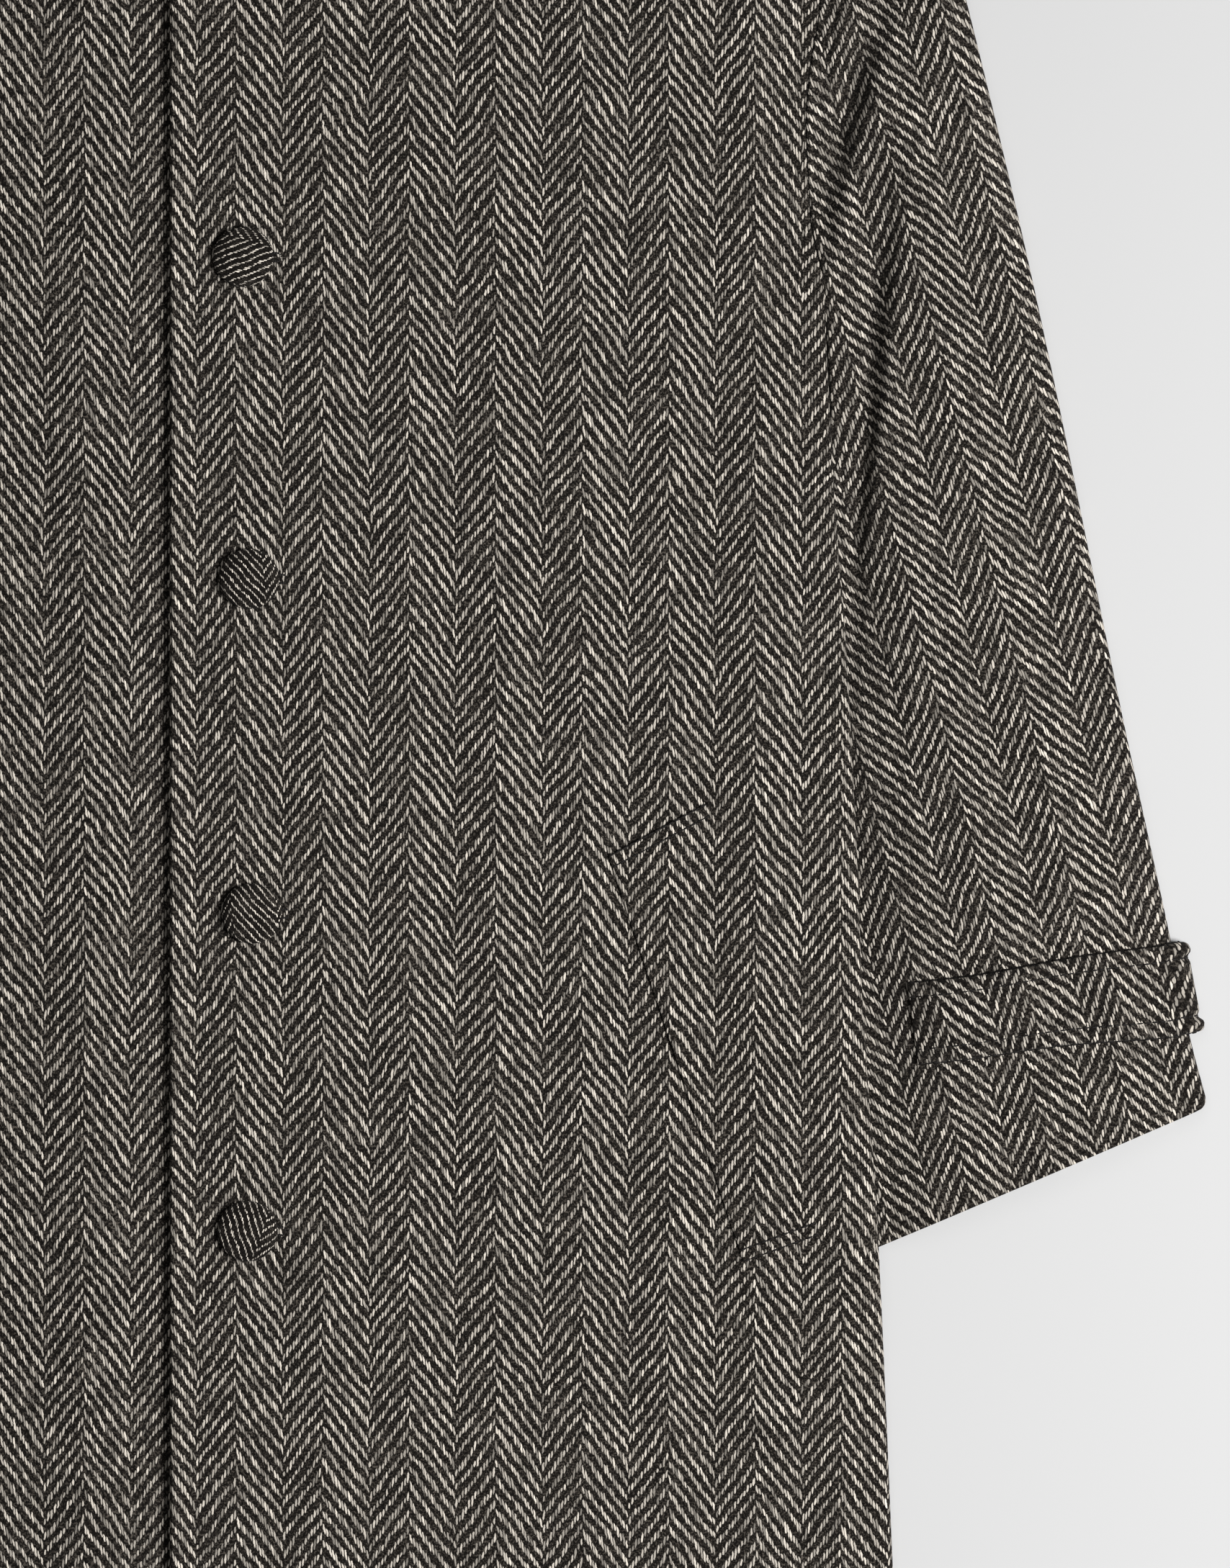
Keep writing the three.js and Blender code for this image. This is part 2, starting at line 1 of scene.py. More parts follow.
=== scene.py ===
import math
import bpy
import numpy as np
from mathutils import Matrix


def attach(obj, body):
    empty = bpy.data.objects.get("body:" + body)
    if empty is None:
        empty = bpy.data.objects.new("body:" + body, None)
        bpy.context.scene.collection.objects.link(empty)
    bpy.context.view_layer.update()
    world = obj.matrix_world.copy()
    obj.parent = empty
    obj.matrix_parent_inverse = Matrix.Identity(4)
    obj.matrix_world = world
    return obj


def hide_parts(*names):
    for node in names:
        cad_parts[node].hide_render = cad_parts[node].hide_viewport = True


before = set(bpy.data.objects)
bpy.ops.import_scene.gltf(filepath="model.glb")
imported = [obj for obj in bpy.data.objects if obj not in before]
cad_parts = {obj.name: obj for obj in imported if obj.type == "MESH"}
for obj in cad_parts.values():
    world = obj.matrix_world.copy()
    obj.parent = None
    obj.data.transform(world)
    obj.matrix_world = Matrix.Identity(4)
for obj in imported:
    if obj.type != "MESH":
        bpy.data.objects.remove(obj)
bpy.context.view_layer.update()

# Sizes below are millimetres on the coat: "across" from the centre front, "down" from the
# shoulder at the neck, and heights from the surface it lies on. Mesh points become metres.
mm = 0.001

print("camera, floor and light")

# the middle of the view on the coat, how much of it the view's height shows, and at what height
shot = {"across": 170.0, "up": 9.23, "tall": 726.0, "lens": 300.0, "film": 36.0, "level": 8.4}


def aimCamera():
    data = bpy.data.cameras.new("photoCamera")
    data.sensor_fit = "VERTICAL"
    data.sensor_height = shot["film"]
    data.lens = shot["lens"]
    data.clip_end = 60
    camera = bpy.data.objects.new("photoCamera", data)
    away = shot["tall"] * shot["lens"] / shot["film"] + shot["level"]
    camera.location = (shot["across"] * mm, shot["up"] * mm, away * mm)
    bpy.context.collection.objects.link(camera)
    bpy.context.scene.camera = camera


studio = {
    "floorSize": 14.0, "floorSink": 0.2, "floorShade": 0.575, "floorRough": 0.8, "floorShine": 0.15,
    "ambient": 0.13,
    "key": {"at": (1.85, -0.35, 2.3), "size": 1.2, "power": 112},
    "fill": {"at": (-0.6, 1.2, 3.2), "size": 2.4, "power": 9.5},
}


def areaLight(name, at, size, power):
    data = bpy.data.lights.new(name, "AREA")
    data.shape = "DISK"
    data.size = size
    data.energy = power
    light = bpy.data.objects.new(name, data)
    light.location = at
    light.rotation_euler = (-light.location).to_track_quat("-Z", "Y").to_euler()
    bpy.context.collection.objects.link(light)


def setStudio():
    bpy.context.scene.view_settings.view_transform = "Standard"
    world = bpy.data.worlds.new("studioWorld")
    world.use_nodes = True
    sky = world.node_tree.nodes["Background"]
    sky.inputs["Color"].default_value = (1.0, 1.0, 1.0, 1)
    sky.inputs["Strength"].default_value = studio["ambient"]
    bpy.context.scene.world = world
    areaLight("keyLight", **studio["key"])
    areaLight("fillLight", **studio["fill"])
    wide = studio["floorSize"] / 2
    low = -studio["floorSink"] * mm
    mesh = bpy.data.meshes.new("studioFloor")
    mesh.from_pydata([(-wide, -wide, low), (wide, -wide, low), (wide, wide, low), (-wide, wide, low)],
                     [], [(0, 1, 2, 3)])
    floor = bpy.data.objects.new("studioFloor", mesh)
    bpy.context.collection.objects.link(floor)
    paper = bpy.data.materials.new("palePaper")
    paper.use_nodes = True
    shader = paper.node_tree.nodes["Principled BSDF"]
    shade = studio["floorShade"]
    shader.inputs["Base Color"].default_value = (shade, shade, shade, 1)
    shader.inputs["Roughness"].default_value = studio["floorRough"]
    shader.inputs["Specular IOR Level"].default_value = studio["floorShine"]
    mesh.materials.append(paper)


aimCamera()
setStudio()

print("tweed")

weave = {
    "endPitch": 1.43, "repeat": 7.55,       # warp ends across, and four picks down
    "risingEnds": 13, "fallingEnds": 15,    # ends in a "/" column and in a "\" column
    "light": (0.62, 0.565, 0.49), "dark": (0.0044, 0.0035, 0.0029), "haze": (0.112, 0.097, 0.081),
}
# how far ends and picks stray from their places, each in waves of its own scale
stray = {
    "swayScale": 0.028, "sway": 1.6, "swayUpScale": 0.04, "swayUp": 0.9,
    "shakeScale": 0.55, "shake": 0.66, "shakeUp": 0.24, "lateEnd": 0.07,
}
# one float of light yarn; in a pair the first is times a measure, and the second is added
yarn = {
    "slant": (-0.16, 0.14), "lean": (-1.4, 0.9),                # for a "/" column
    "reach": (-0.02, 0.18), "girth": (-0.04, 0.25),
    "reachLuck": 0.13, "reachSlub": 0.16, "girthSlub": 0.22,    # luck is by the float
    "middle": (0.12, 0.44), "power": 2.2, "edge": (1.45, 0.6),
    "bright": (0.84, 0.36), "brightSlub": (0.9, 0.56), "brightRising": (-0.14, 1.04),
    "brightTwist": (0.7, 0.66),
    "slub": (0, 0.07, 0.7), "twist": (32, 0.9, 5.0),            # turn, along, side
}
# wool that hides the weave: fibres by turn, along, side and fade, patches and grain by scale
wool = {
    "fibres": [((24, 0.55, 4.2), (0.56, 0.70)), ((-38, 0.5, 4.6), (0.57, 0.72))], "detail": (3, 0.6),
    "patch": 0.055, "patchFade": (0.42, 0.70), "grain": 0.95, "grainFade": (0.48, 0.68),
    "haze": (0.42, 0.52), "veil": 0.20, "worn": (-0.22, 1.0),
}
relief = {"round": 2.6, "yarn": 0.8, "weft": 0.14, "fibre": 0.30, "bump": 0.6, "deep": 0.55}
tweedSurface = {"Roughness": 0.93, "Specular IOR Level": 0.06,
                "Sheen Weight": 0.02, "Sheen Roughness": 0.6}


class NodeDesk:
    # adds nodes to one material and wires their sockets in the order given
    def __init__(self, name):
        self.material = bpy.data.materials.new(name)
        self.material.use_nodes = True
        self.tree = self.material.node_tree
        self.tree.nodes.clear()

    def put(self, socket, value):
        if isinstance(value, bpy.types.NodeSocket):
            self.tree.links.new(value, socket)
        elif value is not None:
            socket.default_value = value

    def node(self, kind, inputs=(), **settings):
        made = self.tree.nodes.new(kind)
        for key, value in settings.items():
            setattr(made, key, value)
        for key, value in dict(inputs).items():
            self.put(made.inputs[key], value)
        return made

    def calc(self, operation, *values):
        made = self.tree.nodes.new("ShaderNodeMath")
        made.operation = operation
        for i, value in enumerate(values):
            self.put(made.inputs[i], value)
        return made.outputs[0]

    def fade(self, value, zeroAt, oneAt):
        made = self.node("ShaderNodeMapRange", {"Value": value, "From Min": zeroAt, "From Max": oneAt},
                         interpolation_type="SMOOTHSTEP")
        return made.outputs[0]

    def noise(self, vector, scale, detail=2.0, roughness=0.5):
        made = self.node("ShaderNodeTexNoise",
                         {"Vector": vector, "Scale": scale, "Detail": detail, "Roughness": roughness})
        return made.outputs["Fac"]

    def blend(self, factor, first, second, blend="MIX"):
        made = self.node("ShaderNodeMix", data_type="RGBA", blend_type=blend)
        self.put(made.inputs[0], factor)
        self.put(made.inputs[6], first)
        self.put(made.inputs[7], second)
        return made.outputs[2]

    def stretched(self, vector, turn, along, side):
        made = self.node("ShaderNodeMapping", {"Vector": vector})
        made.inputs["Rotation"].default_value = (0, 0, math.radians(turn))
        made.inputs["Scale"].default_value = (side, along, 1)
        return made.outputs[0]

    def split(self, vector):
        return self.node("ShaderNodeSeparateXYZ", {0: vector}).outputs

    def moved(self, vector, operation, by):
        return self.node("ShaderNodeVectorMath", {0: vector, 1: by}, operation=operation).outputs[0]

    def scaled(self, value, pair):
        return self.calc("MULTIPLY_ADD", value, *pair)

    def finish(self, colour, height, bump, deep, surface):
        # the material's last nodes; surface holds its plain numbers
        raised = self.node("ShaderNodeBump", {"Strength": bump, "Distance": deep * mm, "Height": height})
        shader = self.node("ShaderNodeBsdfPrincipled", {"Base Color": colour, "Normal": raised.outputs[0]})
        for name, value in surface.items():
            shader.inputs[name].default_value = value
        self.node("ShaderNodeOutputMaterial", {"Surface": shader.outputs[0]})
        return self.material


def tint(colour, shade=1.0):
    return (*[c * shade for c in colour], 1)


def twillSpot(desk, place, columns):
    # the warp end at a place, the side it lies on, 1 in a "/" column, and the climb along a float
    calc, noise = desk.calc, desk.noise
    risingEnds, fallingEnds = columns
    across, along = desk.split(place)[:2]
    sway = calc("SUBTRACT", noise(place, stray["swayScale"], 1), 0.5)
    swayUp = calc("SUBTRACT", noise(place, stray["swayUpScale"], 1), 0.5)
    shake = desk.node("ShaderNodeTexNoise", {"Vector": place, "Scale": stray["shakeScale"], "Detail": 2.0})
    shakes = desk.split(shake.outputs["Color"])
    shakeSide = calc("MULTIPLY", calc("SUBTRACT", shakes[0], 0.5), stray["shake"])
    shakeUp = calc("MULTIPLY", calc("SUBTRACT", shakes[1], 0.5), stray["shakeUp"])
    ends = desk.scaled(sway, (stray["sway"], calc("DIVIDE", across, weave["endPitch"])))
    ends = calc("ADD", ends, shakeSide)
    picks = desk.scaled(swayUp, (stray["swayUp"], calc("DIVIDE", along, weave["repeat"])))
    picks = calc("ADD", picks, shakeUp)

    end = calc("FLOOR", ends)
    side = calc("SUBTRACT", calc("FRACT", ends), 0.5)
    both = risingEnds + fallingEnds
    stripe = calc("FLOOR", calc("DIVIDE", end, both))
    inStripe = calc("MULTIPLY_ADD", stripe, -both, end)
    rising = calc("LESS_THAN", inStripe, risingEnds - 0.5)
    falling = calc("SUBTRACT", both - 1, inStripe)
    lift = calc("ADD", falling, calc("MULTIPLY", rising, calc("SUBTRACT", inStripe, falling)))
    phase = calc("MULTIPLY", calc("MULTIPLY_ADD", stripe, 2, lift), 0.25)    # four picks to a repeat
    late = desk.node("ShaderNodeTexWhiteNoise", {"W": end}, noise_dimensions="1D").outputs["Value"]
    phase = calc("ADD", phase, calc("MULTIPLY", late, stray["lateEnd"]))
    slant = desk.scaled(rising, yarn["slant"])
    climb = calc("ADD", calc("MULTIPLY", side, slant), calc("SUBTRACT", picks, phase))
    return end, side, rising, climb


def lightFloat(desk, place, spot, salt, cover):
    # each float is a grain of light yarn; those of a falling column close up to a bold rib
    calc, scaled = desk.calc, desk.scaled
    end, side, rising, climb = spot
    key = desk.node("ShaderNodeCombineXYZ", {0: end, 1: calc("FLOOR", climb), 2: salt + 0.37}).outputs[0]
    luck = desk.node("ShaderNodeTexWhiteNoise", {"Vector": key}, noise_dimensions="3D")
    luckTwo, luckThree = desk.split(luck.outputs["Color"])[1:3]
    within = calc("SUBTRACT", calc("FRACT", climb), scaled(luckThree, yarn["middle"]))
    aside = calc("ABSOLUTE", calc("MULTIPLY_ADD", within, scaled(rising, yarn["lean"]), side))
    slub = desk.noise(desk.stretched(place, *yarn["slub"]), 1.0, 1)

    reach = scaled(luck.outputs["Value"], (yarn["reachLuck"], scaled(rising, yarn["reach"])))
    reach = scaled(calc("SUBTRACT", slub, 0.5), (yarn["reachSlub"], reach))
    reach = calc("MULTIPLY", reach, cover)
    girth = scaled(slub, (yarn["girthSlub"], scaled(rising, yarn["girth"])))
    oval = calc("ADD", calc("POWER", calc("DIVIDE", calc("ABSOLUTE", within), reach), yarn["power"]),
                calc("POWER", calc("DIVIDE", aside, girth), yarn["power"]))
    shown = desk.fade(oval, *yarn["edge"])

    twist = desk.noise(desk.stretched(place, *yarn["twist"]), 1.0, 2)
    bright = calc("MULTIPLY", scaled(luckTwo, yarn["bright"]), scaled(slub, yarn["brightSlub"]))
    bright = calc("MULTIPLY", bright, scaled(rising, yarn["brightRising"]))
    bright = calc("MULTIPLY", bright, scaled(twist, yarn["brightTwist"]))
    return shown, bright, aside, twist


def woolOver(desk, place, crisp):
    # loose fibres, the patches where they gather, and the haze they lay on the ground
    fibres = [desk.noise(desk.stretched(place, *way), 1.0, *wool["detail"]) for way, _ in wool["fibres"]]
    faded = [desk.fade(fibre, *ends) for fibre, (_, ends) in zip(fibres, wool["fibres"])]
    fuzz = desk.calc("MAXIMUM", *faded)
    patch = desk.fade(desk.noise(place, wool["patch"], 3, 0.6), *wool["patchFade"])
    grain = desk.fade(desk.noise(place, wool["grain"], 2, 0.55), *wool["grainFade"])
    inPatch, anywhere = wool["haze"]
    haze = desk.calc("MULTIPLY", desk.calc("MAXIMUM", fuzz, grain),
                     desk.scaled(patch, (inPatch, anywhere / crisp)))
    return fibres[0], fuzz, patch, haze


def tweed(name, size=1.0, shade=1.0, crisp=1.0, salt=0.0, columns=None, cover=1.0):
    # herringbone twill on the cloth's own flat millimetres, kept in its UV map
    desk = NodeDesk(name)
    calc = desk.calc
    flat = desk.node("ShaderNodeUVMap", uv_map="flatCloth").outputs[0]
    place = desk.moved(flat, "MULTIPLY", (1000 / size,) * 3)
    place = desk.moved(place, "ADD", (0, 0, salt))
    spot = twillSpot(desk, place, columns or (weave["risingEnds"], weave["fallingEnds"]))
    shown, bright, aside, twist = lightFloat(desk, place, spot, salt, cover)
    fibre, fuzz, patch, haze = woolOver(desk, place, crisp)

    # shade scales every colour of this copy of the cloth: a painted shade or light for the pieces that wear
    # it
    light = tuple(c * shade for c in weave["light"])
    light = desk.node("ShaderNodeVectorMath", {0: light, 3: bright}, operation="SCALE").outputs[0]
    ground = desk.blend(haze, tint(weave["dark"], shade), tint(weave["haze"], shade))
    colour = desk.blend(calc("MULTIPLY", shown, desk.scaled(patch, wool["worn"])), ground, light)
    veil = calc("MULTIPLY", calc("MULTIPLY", fuzz, patch), wool["veil"])
    colour = desk.blend(veil, colour, tint(weave["haze"], shade))

    dome = calc("SUBTRACT", 1.0, calc("MULTIPLY", calc("MULTIPLY", aside, aside), relief["round"]))
    weft = calc("MULTIPLY", calc("COSINE", calc("MULTIPLY", spot[3], math.tau * 2)), relief["weft"])
    height = calc("ADD", calc("MULTIPLY", calc("MULTIPLY", shown, dome), relief["yarn"]), weft)
    height = calc("ADD", height, calc("MULTIPLY", calc("ADD", fibre, twist), relief["fibre"]))
    return desk.finish(colour, height, relief["bump"], relief["deep"] * size, tweedSurface)


threadLook = {
    "twist": (40, 0.6, 4.0), "fade": (0.35, 0.7), "darker": 0.5, "bump": 0.5, "deep": 0.2,
    "surface": {"Roughness": 0.7, "Specular IOR Level": 0.25},
}


def threadFinish(name, colour):
    # twisted sewing thread
    desk = NodeDesk(name)
    place = desk.moved(desk.node("ShaderNodeTexCoord").outputs["Object"], "MULTIPLY", (1000,) * 3)
    strand = desk.noise(desk.stretched(place, *threadLook["twist"]), 1.0, 2)
    lit = desk.fade(strand, *threadLook["fade"])
    shade = desk.blend(lit, tint(colour, threadLook["darker"]), tint(colour))
    return desk.finish(shade, strand, threadLook["bump"], threadLook["deep"], threadLook["surface"])


# one cloth in every copy: the shade of each makes its pieces darker or lighter, which is painted shade and
# light
bodyTweed = tweed("bodyTweed", shade=0.97)
underFrontTweed = tweed("underFrontTweed", shade=0.95, salt=7.0)
sleeveTweed = tweed("sleeveTweed", shade=0.94, salt=3.0)
trimTweed = tweed("trimTweed", shade=0.95, crisp=1.2, salt=11.0)
buttonTweed = tweed("buttonTweed", size=0.66, shade=1.15, crisp=4.5, salt=17.0, columns=(21, 23),
                    cover=0.58)
# near-black thread, for the stitches and buttonholes and for the painted shadow lines at the strap and welt
# edges
darkThread = threadFinish("darkThread", (0.012, 0.010, 0.009))

print("cloth helpers")

cloth = {"thick": 2.4, "gap": 0.3, "loft": 3.6}
half = cloth["thick"] / 2
backLevel = half
frontLevel = cloth["thick"] + cloth["loft"] + half
tuckedLevel = cloth["thick"] + cloth["gap"] + half
rollReach = (frontLevel - backLevel) / 2 + half

# the body's outline; its rows of points are level from wholeFrom down
body = {
    "length": 1100, "pitDown": 285, "neckHalfWidth": 88, "frontNeckDrop": 95, "backNeckDrop": 20,
    "shoulderHalfWidth": 268.7, "shoulderDrop": 55, "overlap": 36, "sideClosed": 318, "wholeFrom": 100,
}
collar = {
    "standTopHalfWidth": 80, "standTop": -38, "frontRollDrop": 104, "backRollDrop": 18,
    "point": (58, 128), "fallSide": (143, 16.7), "fallBackDrop": 28, "fallCurve": (118, 78),
    "inset": 0.4, "halfGap": 1.5, "rollAboveStand": 4.2,
}
# the back rises under the collar, within an oval round the neck
neckLiftArea = {"across": 225, "down": 75, "above": 20, "full": 1.15, "clear": 1.4}
# the side of the body comes to lie over a sleeve, by distance down and across
sleeveUnderSide = {"start": 296, "full": 350, "end": 745, "clear": 800}
sideRamp = {"start": 62, "end": 6}
leastTuck = 15    # the side is raised at least this far in from its edge
sideLift = tuckedLevel + half + cloth["gap"]
frontRise = 2.7   # of a front where it lies over a sleeve
frontSink = {"start": 62, "end": 40}    # where the under front sinks beneath the other one
# the top of a sleeve sinks beneath the side, by distance down and from the side
sleeveSink = {"start": 318, "full": 350, "outside": 28, "inside": 3}
middleDown = (body["length"] + collar["standTop"] - collar["rollAboveStand"]) / 2

# tables of points: down, across
armhole = [(55, 268.7), (110, 267), (162, 264.3), (185, 260.5), (212, 258.2), (240, 259.4), (263, 261),
           (285, 266.3)]
sideSeam = [(285, 266.3), (343, 269.3), (403, 272.7), (440, 276), (551, 282), (615, 284.5), (734, 292),
            (883, 298.7), (1100, 308)]
# down, how far the sleeve's inner edge lies beneath the side of the body
tuck = [(285, 0), (345, 0), (356, 1.2), (380, 6), (410, 12), (430, 18), (465, 30), (520, 36), (620, 25),
        (700, 13), (738, 9)]
# down, across
sleeveEdge = [(58, 275), (64, 285), (80, 302), (120, 322), (156.7, 332.7), (292.7, 364.7), (488.3, 405),
              (590.3, 427), (635.7, 436), (669, 444.7)]
# where a section starts on the inner side, and ends on the outer edge
sleeveSections = [(60, 58), (64.1, 64), (79.6, 72), (100, 84), (140, 108), (185, 140), (225, 170),
                  (260, 198), (285, 219), (300, 232), (318, 248), (345, 272), (372, 297), (400, 323),
                  (430, 352), (465, 386), (520, 441), (590, 515), (650, 579), (700, 631), (738, 669)]
# down, across, depth, along the two large folds of a sleeve
foldFade = {"above": 30, "below": 40}
sleeveFolds = [
    {"in": 14, "out": 13, "line": [(150, 295, 1.2), (183, 283, 2.4), (215, 275, 3.0), (240, 268.5, 2.4),
                                   (272, 264, 0.8)]},
    {"in": 26, "out": 12, "line": [(235, 297, 0.8), (290, 290, 3.2), (330, 286, 4.0), (377, 281, 4.2),
                                   (413, 278, 3.8), (470, 279, 1.6)]},
]


def smooth(low, high, value):
    t = np.clip((np.asarray(value, float) - low) / (high - low), 0, 1)
    return t * t * (3 - 2 * t)


def mix(first, second, t):
    return first + (second - first) * t


def readAt(rows, down, column=1):
    # a smooth curve through one column of a table, read at a distance down
    at = np.array([row[0] for row in rows], float)
    value = np.array([row[column] for row in rows], float)
    slope = np.empty_like(value)
    slope[1:-1] = (value[2:] - value[:-2]) / (at[2:] - at[:-2])
    slope[0] = (value[1] - value[0]) / (at[1] - at[0])
    slope[-1] = (value[-1] - value[-2]) / (at[-1] - at[-2])
    down = np.clip(down, at[0], at[-1])
    i = np.clip(np.searchsorted(at, down) - 1, 0, len(at) - 2)
    span = at[i + 1] - at[i]
    t = (down - at[i]) / span
    rise = value[i + 1] - value[i]
    bend = (slope[i] * span - rise) * (1 - t) + (rise - slope[i + 1] * span) * t
    return value[i] + rise * t + t * (1 - t) * bend


def bodyEdge(down):
    down = np.asarray(down, float)
    return np.where(down < body["pitDown"], readAt(armhole, down), readAt(sideSeam, down))


def sleeveInnerEdge(down):
    tucked = bodyEdge(down) - readAt(tuck, down)
    return np.where(np.asarray(down) < body["pitDown"], bodyEdge(down) + cloth["gap"], tucked)


def tuckLine(down):
    wide = np.maximum(leastTuck, readAt(tuck, down))
    return bodyEdge(np.maximum(body["pitDown"], down)) - wide


def sideOverSleeve(across, down):
    inner = tuckLine(down)
    span = sleeveUnderSide
    lengthwise = smooth(span["start"], span["full"], down) * (1 - smooth(span["end"], span["clear"], down))
    return lengthwise * smooth(inner - sideRamp["start"], inner - sideRamp["end"], across)


def neckLift(across, down):
    area = neckLiftArea
    reach = np.hypot(across / area["across"], (down + area["above"]) / area["down"])
    return 1 - smooth(area["full"], area["clear"], reach)


def softLines(across, down, lines):
    # soft troughs and ridges along straight lines: from, to, half width, height
    total = np.zeros(np.broadcast(across, down).shape)
    for (startX, startY), (endX, endY), wide, height in lines:
        alongX, alongY = endX - startX, endY - startY
        length = math.hypot(alongX, alongY)
        t = ((across - startX) * alongX + (down - startY) * alongY) / length ** 2
        away = np.abs((across - startX) * alongY - (down - startY) * alongX) / length
        ends = smooth(-0.25, 0.3, t) * (1 - smooth(0.7, 1.25, t))
        total = total + height * ends * np.exp(-(away / wide) ** 2)
    return total


def foldDepth(across, down):
    depth = np.zeros(np.broadcast(across, down).shape)
    for fold in sleeveFolds:
        line = fold["line"]
        first, last = line[0][0], line[-1][0]
        fadeIn = smooth(first - foldFade["above"], first, down)
        shown = fadeIn * (1 - smooth(last, last + foldFade["below"], down))
        away = across - readAt(line, down)
        side = np.where(away < 0, -away / fold["in"], away / fold["out"])
        depth = np.maximum(depth, readAt(line, down, 2) * shown * (1 - smooth(0, 1, side)))
    return depth


def edgeSteps(start, end, step, fine=(0.15, 0.5, 1.1, 2.0)):
    # evenly spaced places with closer ones inside each end, where an edge rounds off
    count = max(2, round((end - start) / step) + 1)
    even = np.linspace(start, end, count)
    near = [start + d for d in fine] + [end - d for d in fine]
    inner = even[(even > start + fine[-1] * 1.5) & (even < end - fine[-1] * 1.5)]
    return np.unique(np.concatenate([[start, end], near, inner]))


rimLeast = 0.14        # share of a wall's thickness that is left at a rounded rim
seamRounding = 2.2     # how far in from the armhole seam the wall thins


def edgeRounding(at, reach):
    # how thick the wall is near its first row, last row, first column and last column
    full = np.ones(at.shape[:2])
    for axis, (first, last) in enumerate([reach[:2], reach[2:]]):
        steps = np.linalg.norm(np.diff(at, axis=axis), axis=2)
        walked = np.cumsum(steps, axis=axis)
        zero = np.zeros_like(np.take(walked, [0], axis=axis))
        walked = np.concatenate([zero, walked], axis=axis)
        total = np.take(walked, [-1], axis=axis)
        for distance, wide in ((walked, first), (total - walked, last)):
            t = np.clip(distance / np.maximum(wide, 1e-3), 0, 1)
            rounded = np.maximum(rimLeast, np.sqrt(1 - (1 - t) ** 2))
            full *= np.where(np.asarray(wide) > 0.1, rounded, 1)
    return full


def addPiece(name, points, faces, finish, flats=None):
    # a smooth mesh, with the flat place of each point in its UV map
    mesh = bpy.data.meshes.new(name)
    mesh.from_pydata((np.asarray(points, float) * mm).tolist(), [], faces)
    mesh.polygons.foreach_set("use_smooth", np.ones(len(faces), bool))
    if flats is not None:
        loops = np.empty(len(mesh.loops), int)
        mesh.loops.foreach_get("vertex_index", loops)
        flats = np.asarray(flats, float) * mm
        mesh.uv_layers.new(name="flatCloth").data.foreach_set("uv", flats[loops].ravel())
    mesh.materials.append(finish)
    mesh.update()
    piece = bpy.data.objects.new(name, mesh)
    bpy.context.collection.objects.link(piece)
    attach(piece, "root")
    return piece


def ringFaces(first, rings, around, looped=False):
    # quads between neighbouring rings of points, numbered from first
    faces = []
    for i in range(rings if looped else rings - 1):
        low, high = first + i * around, first + (i + 1) % rings * around
        for j in range(around):
            n = (j + 1) % around
            faces.append((low + j, low + n, high + n, high + j))
    return faces


def wallPiece(name, at, out, thick, flat, finish, reach=(1.2, 1.2, 1.2, 1.2)):
    # a closed wall of cloth round a grid of middle points
    rowCount, count = at.shape[:2]
    lift = out * (np.asarray(thick) / 2 * edgeRounding(at, reach))[..., None]
    points = np.concatenate([(at + lift).reshape(-1, 3), (at - lift).reshape(-1, 3)])
    index = np.arange(rowCount * count).reshape(rowCount, count)
    a, b, c, d = index[:-1, :-1], index[:-1, 1:], index[1:, 1:], index[1:, :-1]
    other = rowCount * count
    border = np.concatenate([index[0, :], index[1:, -1], index[-1, -2::-1], index[-2:0:-1, 0]])
    after = np.roll(border, -1)
    quads = np.concatenate([
        np.stack([a, b, c, d], -1).reshape(-1, 4),
        np.stack([a, d, c, b], -1).reshape(-1, 4) + other,
        np.stack([after, border, border + other, after + other], -1),
    ])
    corner = points[quads]
    normal = np.cross(corner[:, 2] - corner[:, 0], corner[:, 3] - corner[:, 1])
    if (corner.mean(axis=1) * normal).sum() < 0:
        quads = quads[:, ::-1]
    flats = np.concatenate([flat.reshape(-1, 2)] * 2)
    return addPiece(name, points, quads.tolist(), finish, flats)


def mirrorGrid(at, out, flat, side):
    if side > 0:
        return at, out, flat
    return at * (-1, 1, 1), out * (-1, 1, 1), flat * (-1, 1)


def place(across, down, height):
    up = middleDown - np.asarray(down, float)
    return np.stack(np.broadcast_arrays(across, up, height), -1).astype(float)


def facing(shape, x, y, z):
    return np.stack([np.broadcast_to(v, shape) for v in (x, y, z)], -1).astype(float)


rollTurns = np.array([0, 0.14, 0.28, 0.42, 0.56, 0.68, 0.79, 0.88, 0.95, 1])


def rolled(x, down, outX, outDown, top, low, up, turn):
    # an edge that rolls to meet the other layer halfway up
    radius = (top - low) / 2
    angle = turn * math.pi / 2
    reach = radius * np.sin(angle) - radius - half
    lift = np.maximum(radius * np.cos(angle), cloth["gap"] / 2)
    at = place(x + outX * reach, down + outDown * reach, (top + low) / 2 + up * lift)
    out = facing(at.shape[:-1], outX * np.sin(angle), -outDown * np.sin(angle), up * np.cos(angle))
    return at, out


print("back and fronts")

# the covered buttons, and how the cloth of each is turned (degrees) and shifted
button = {"radius": 14.0, "height": 8.0, "rim": 3.0, "foot": 9.5, "fullness": 0.84}
buttons = [
    {"across": 0, "down": 125.3, "turn": 10, "shift": -4.0},
    {"across": -2, "down": 275.7, "turn": 75, "shift": -8.0},
    {"across": 0.7, "down": 424.7, "turn": 6, "shift": -7.0},
    {"across": 2, "down": 579.7, "turn": 7, "shift": 29.0},
    {"across": 0, "down": 726.7, "turn": -19, "shift": -6.5},
]
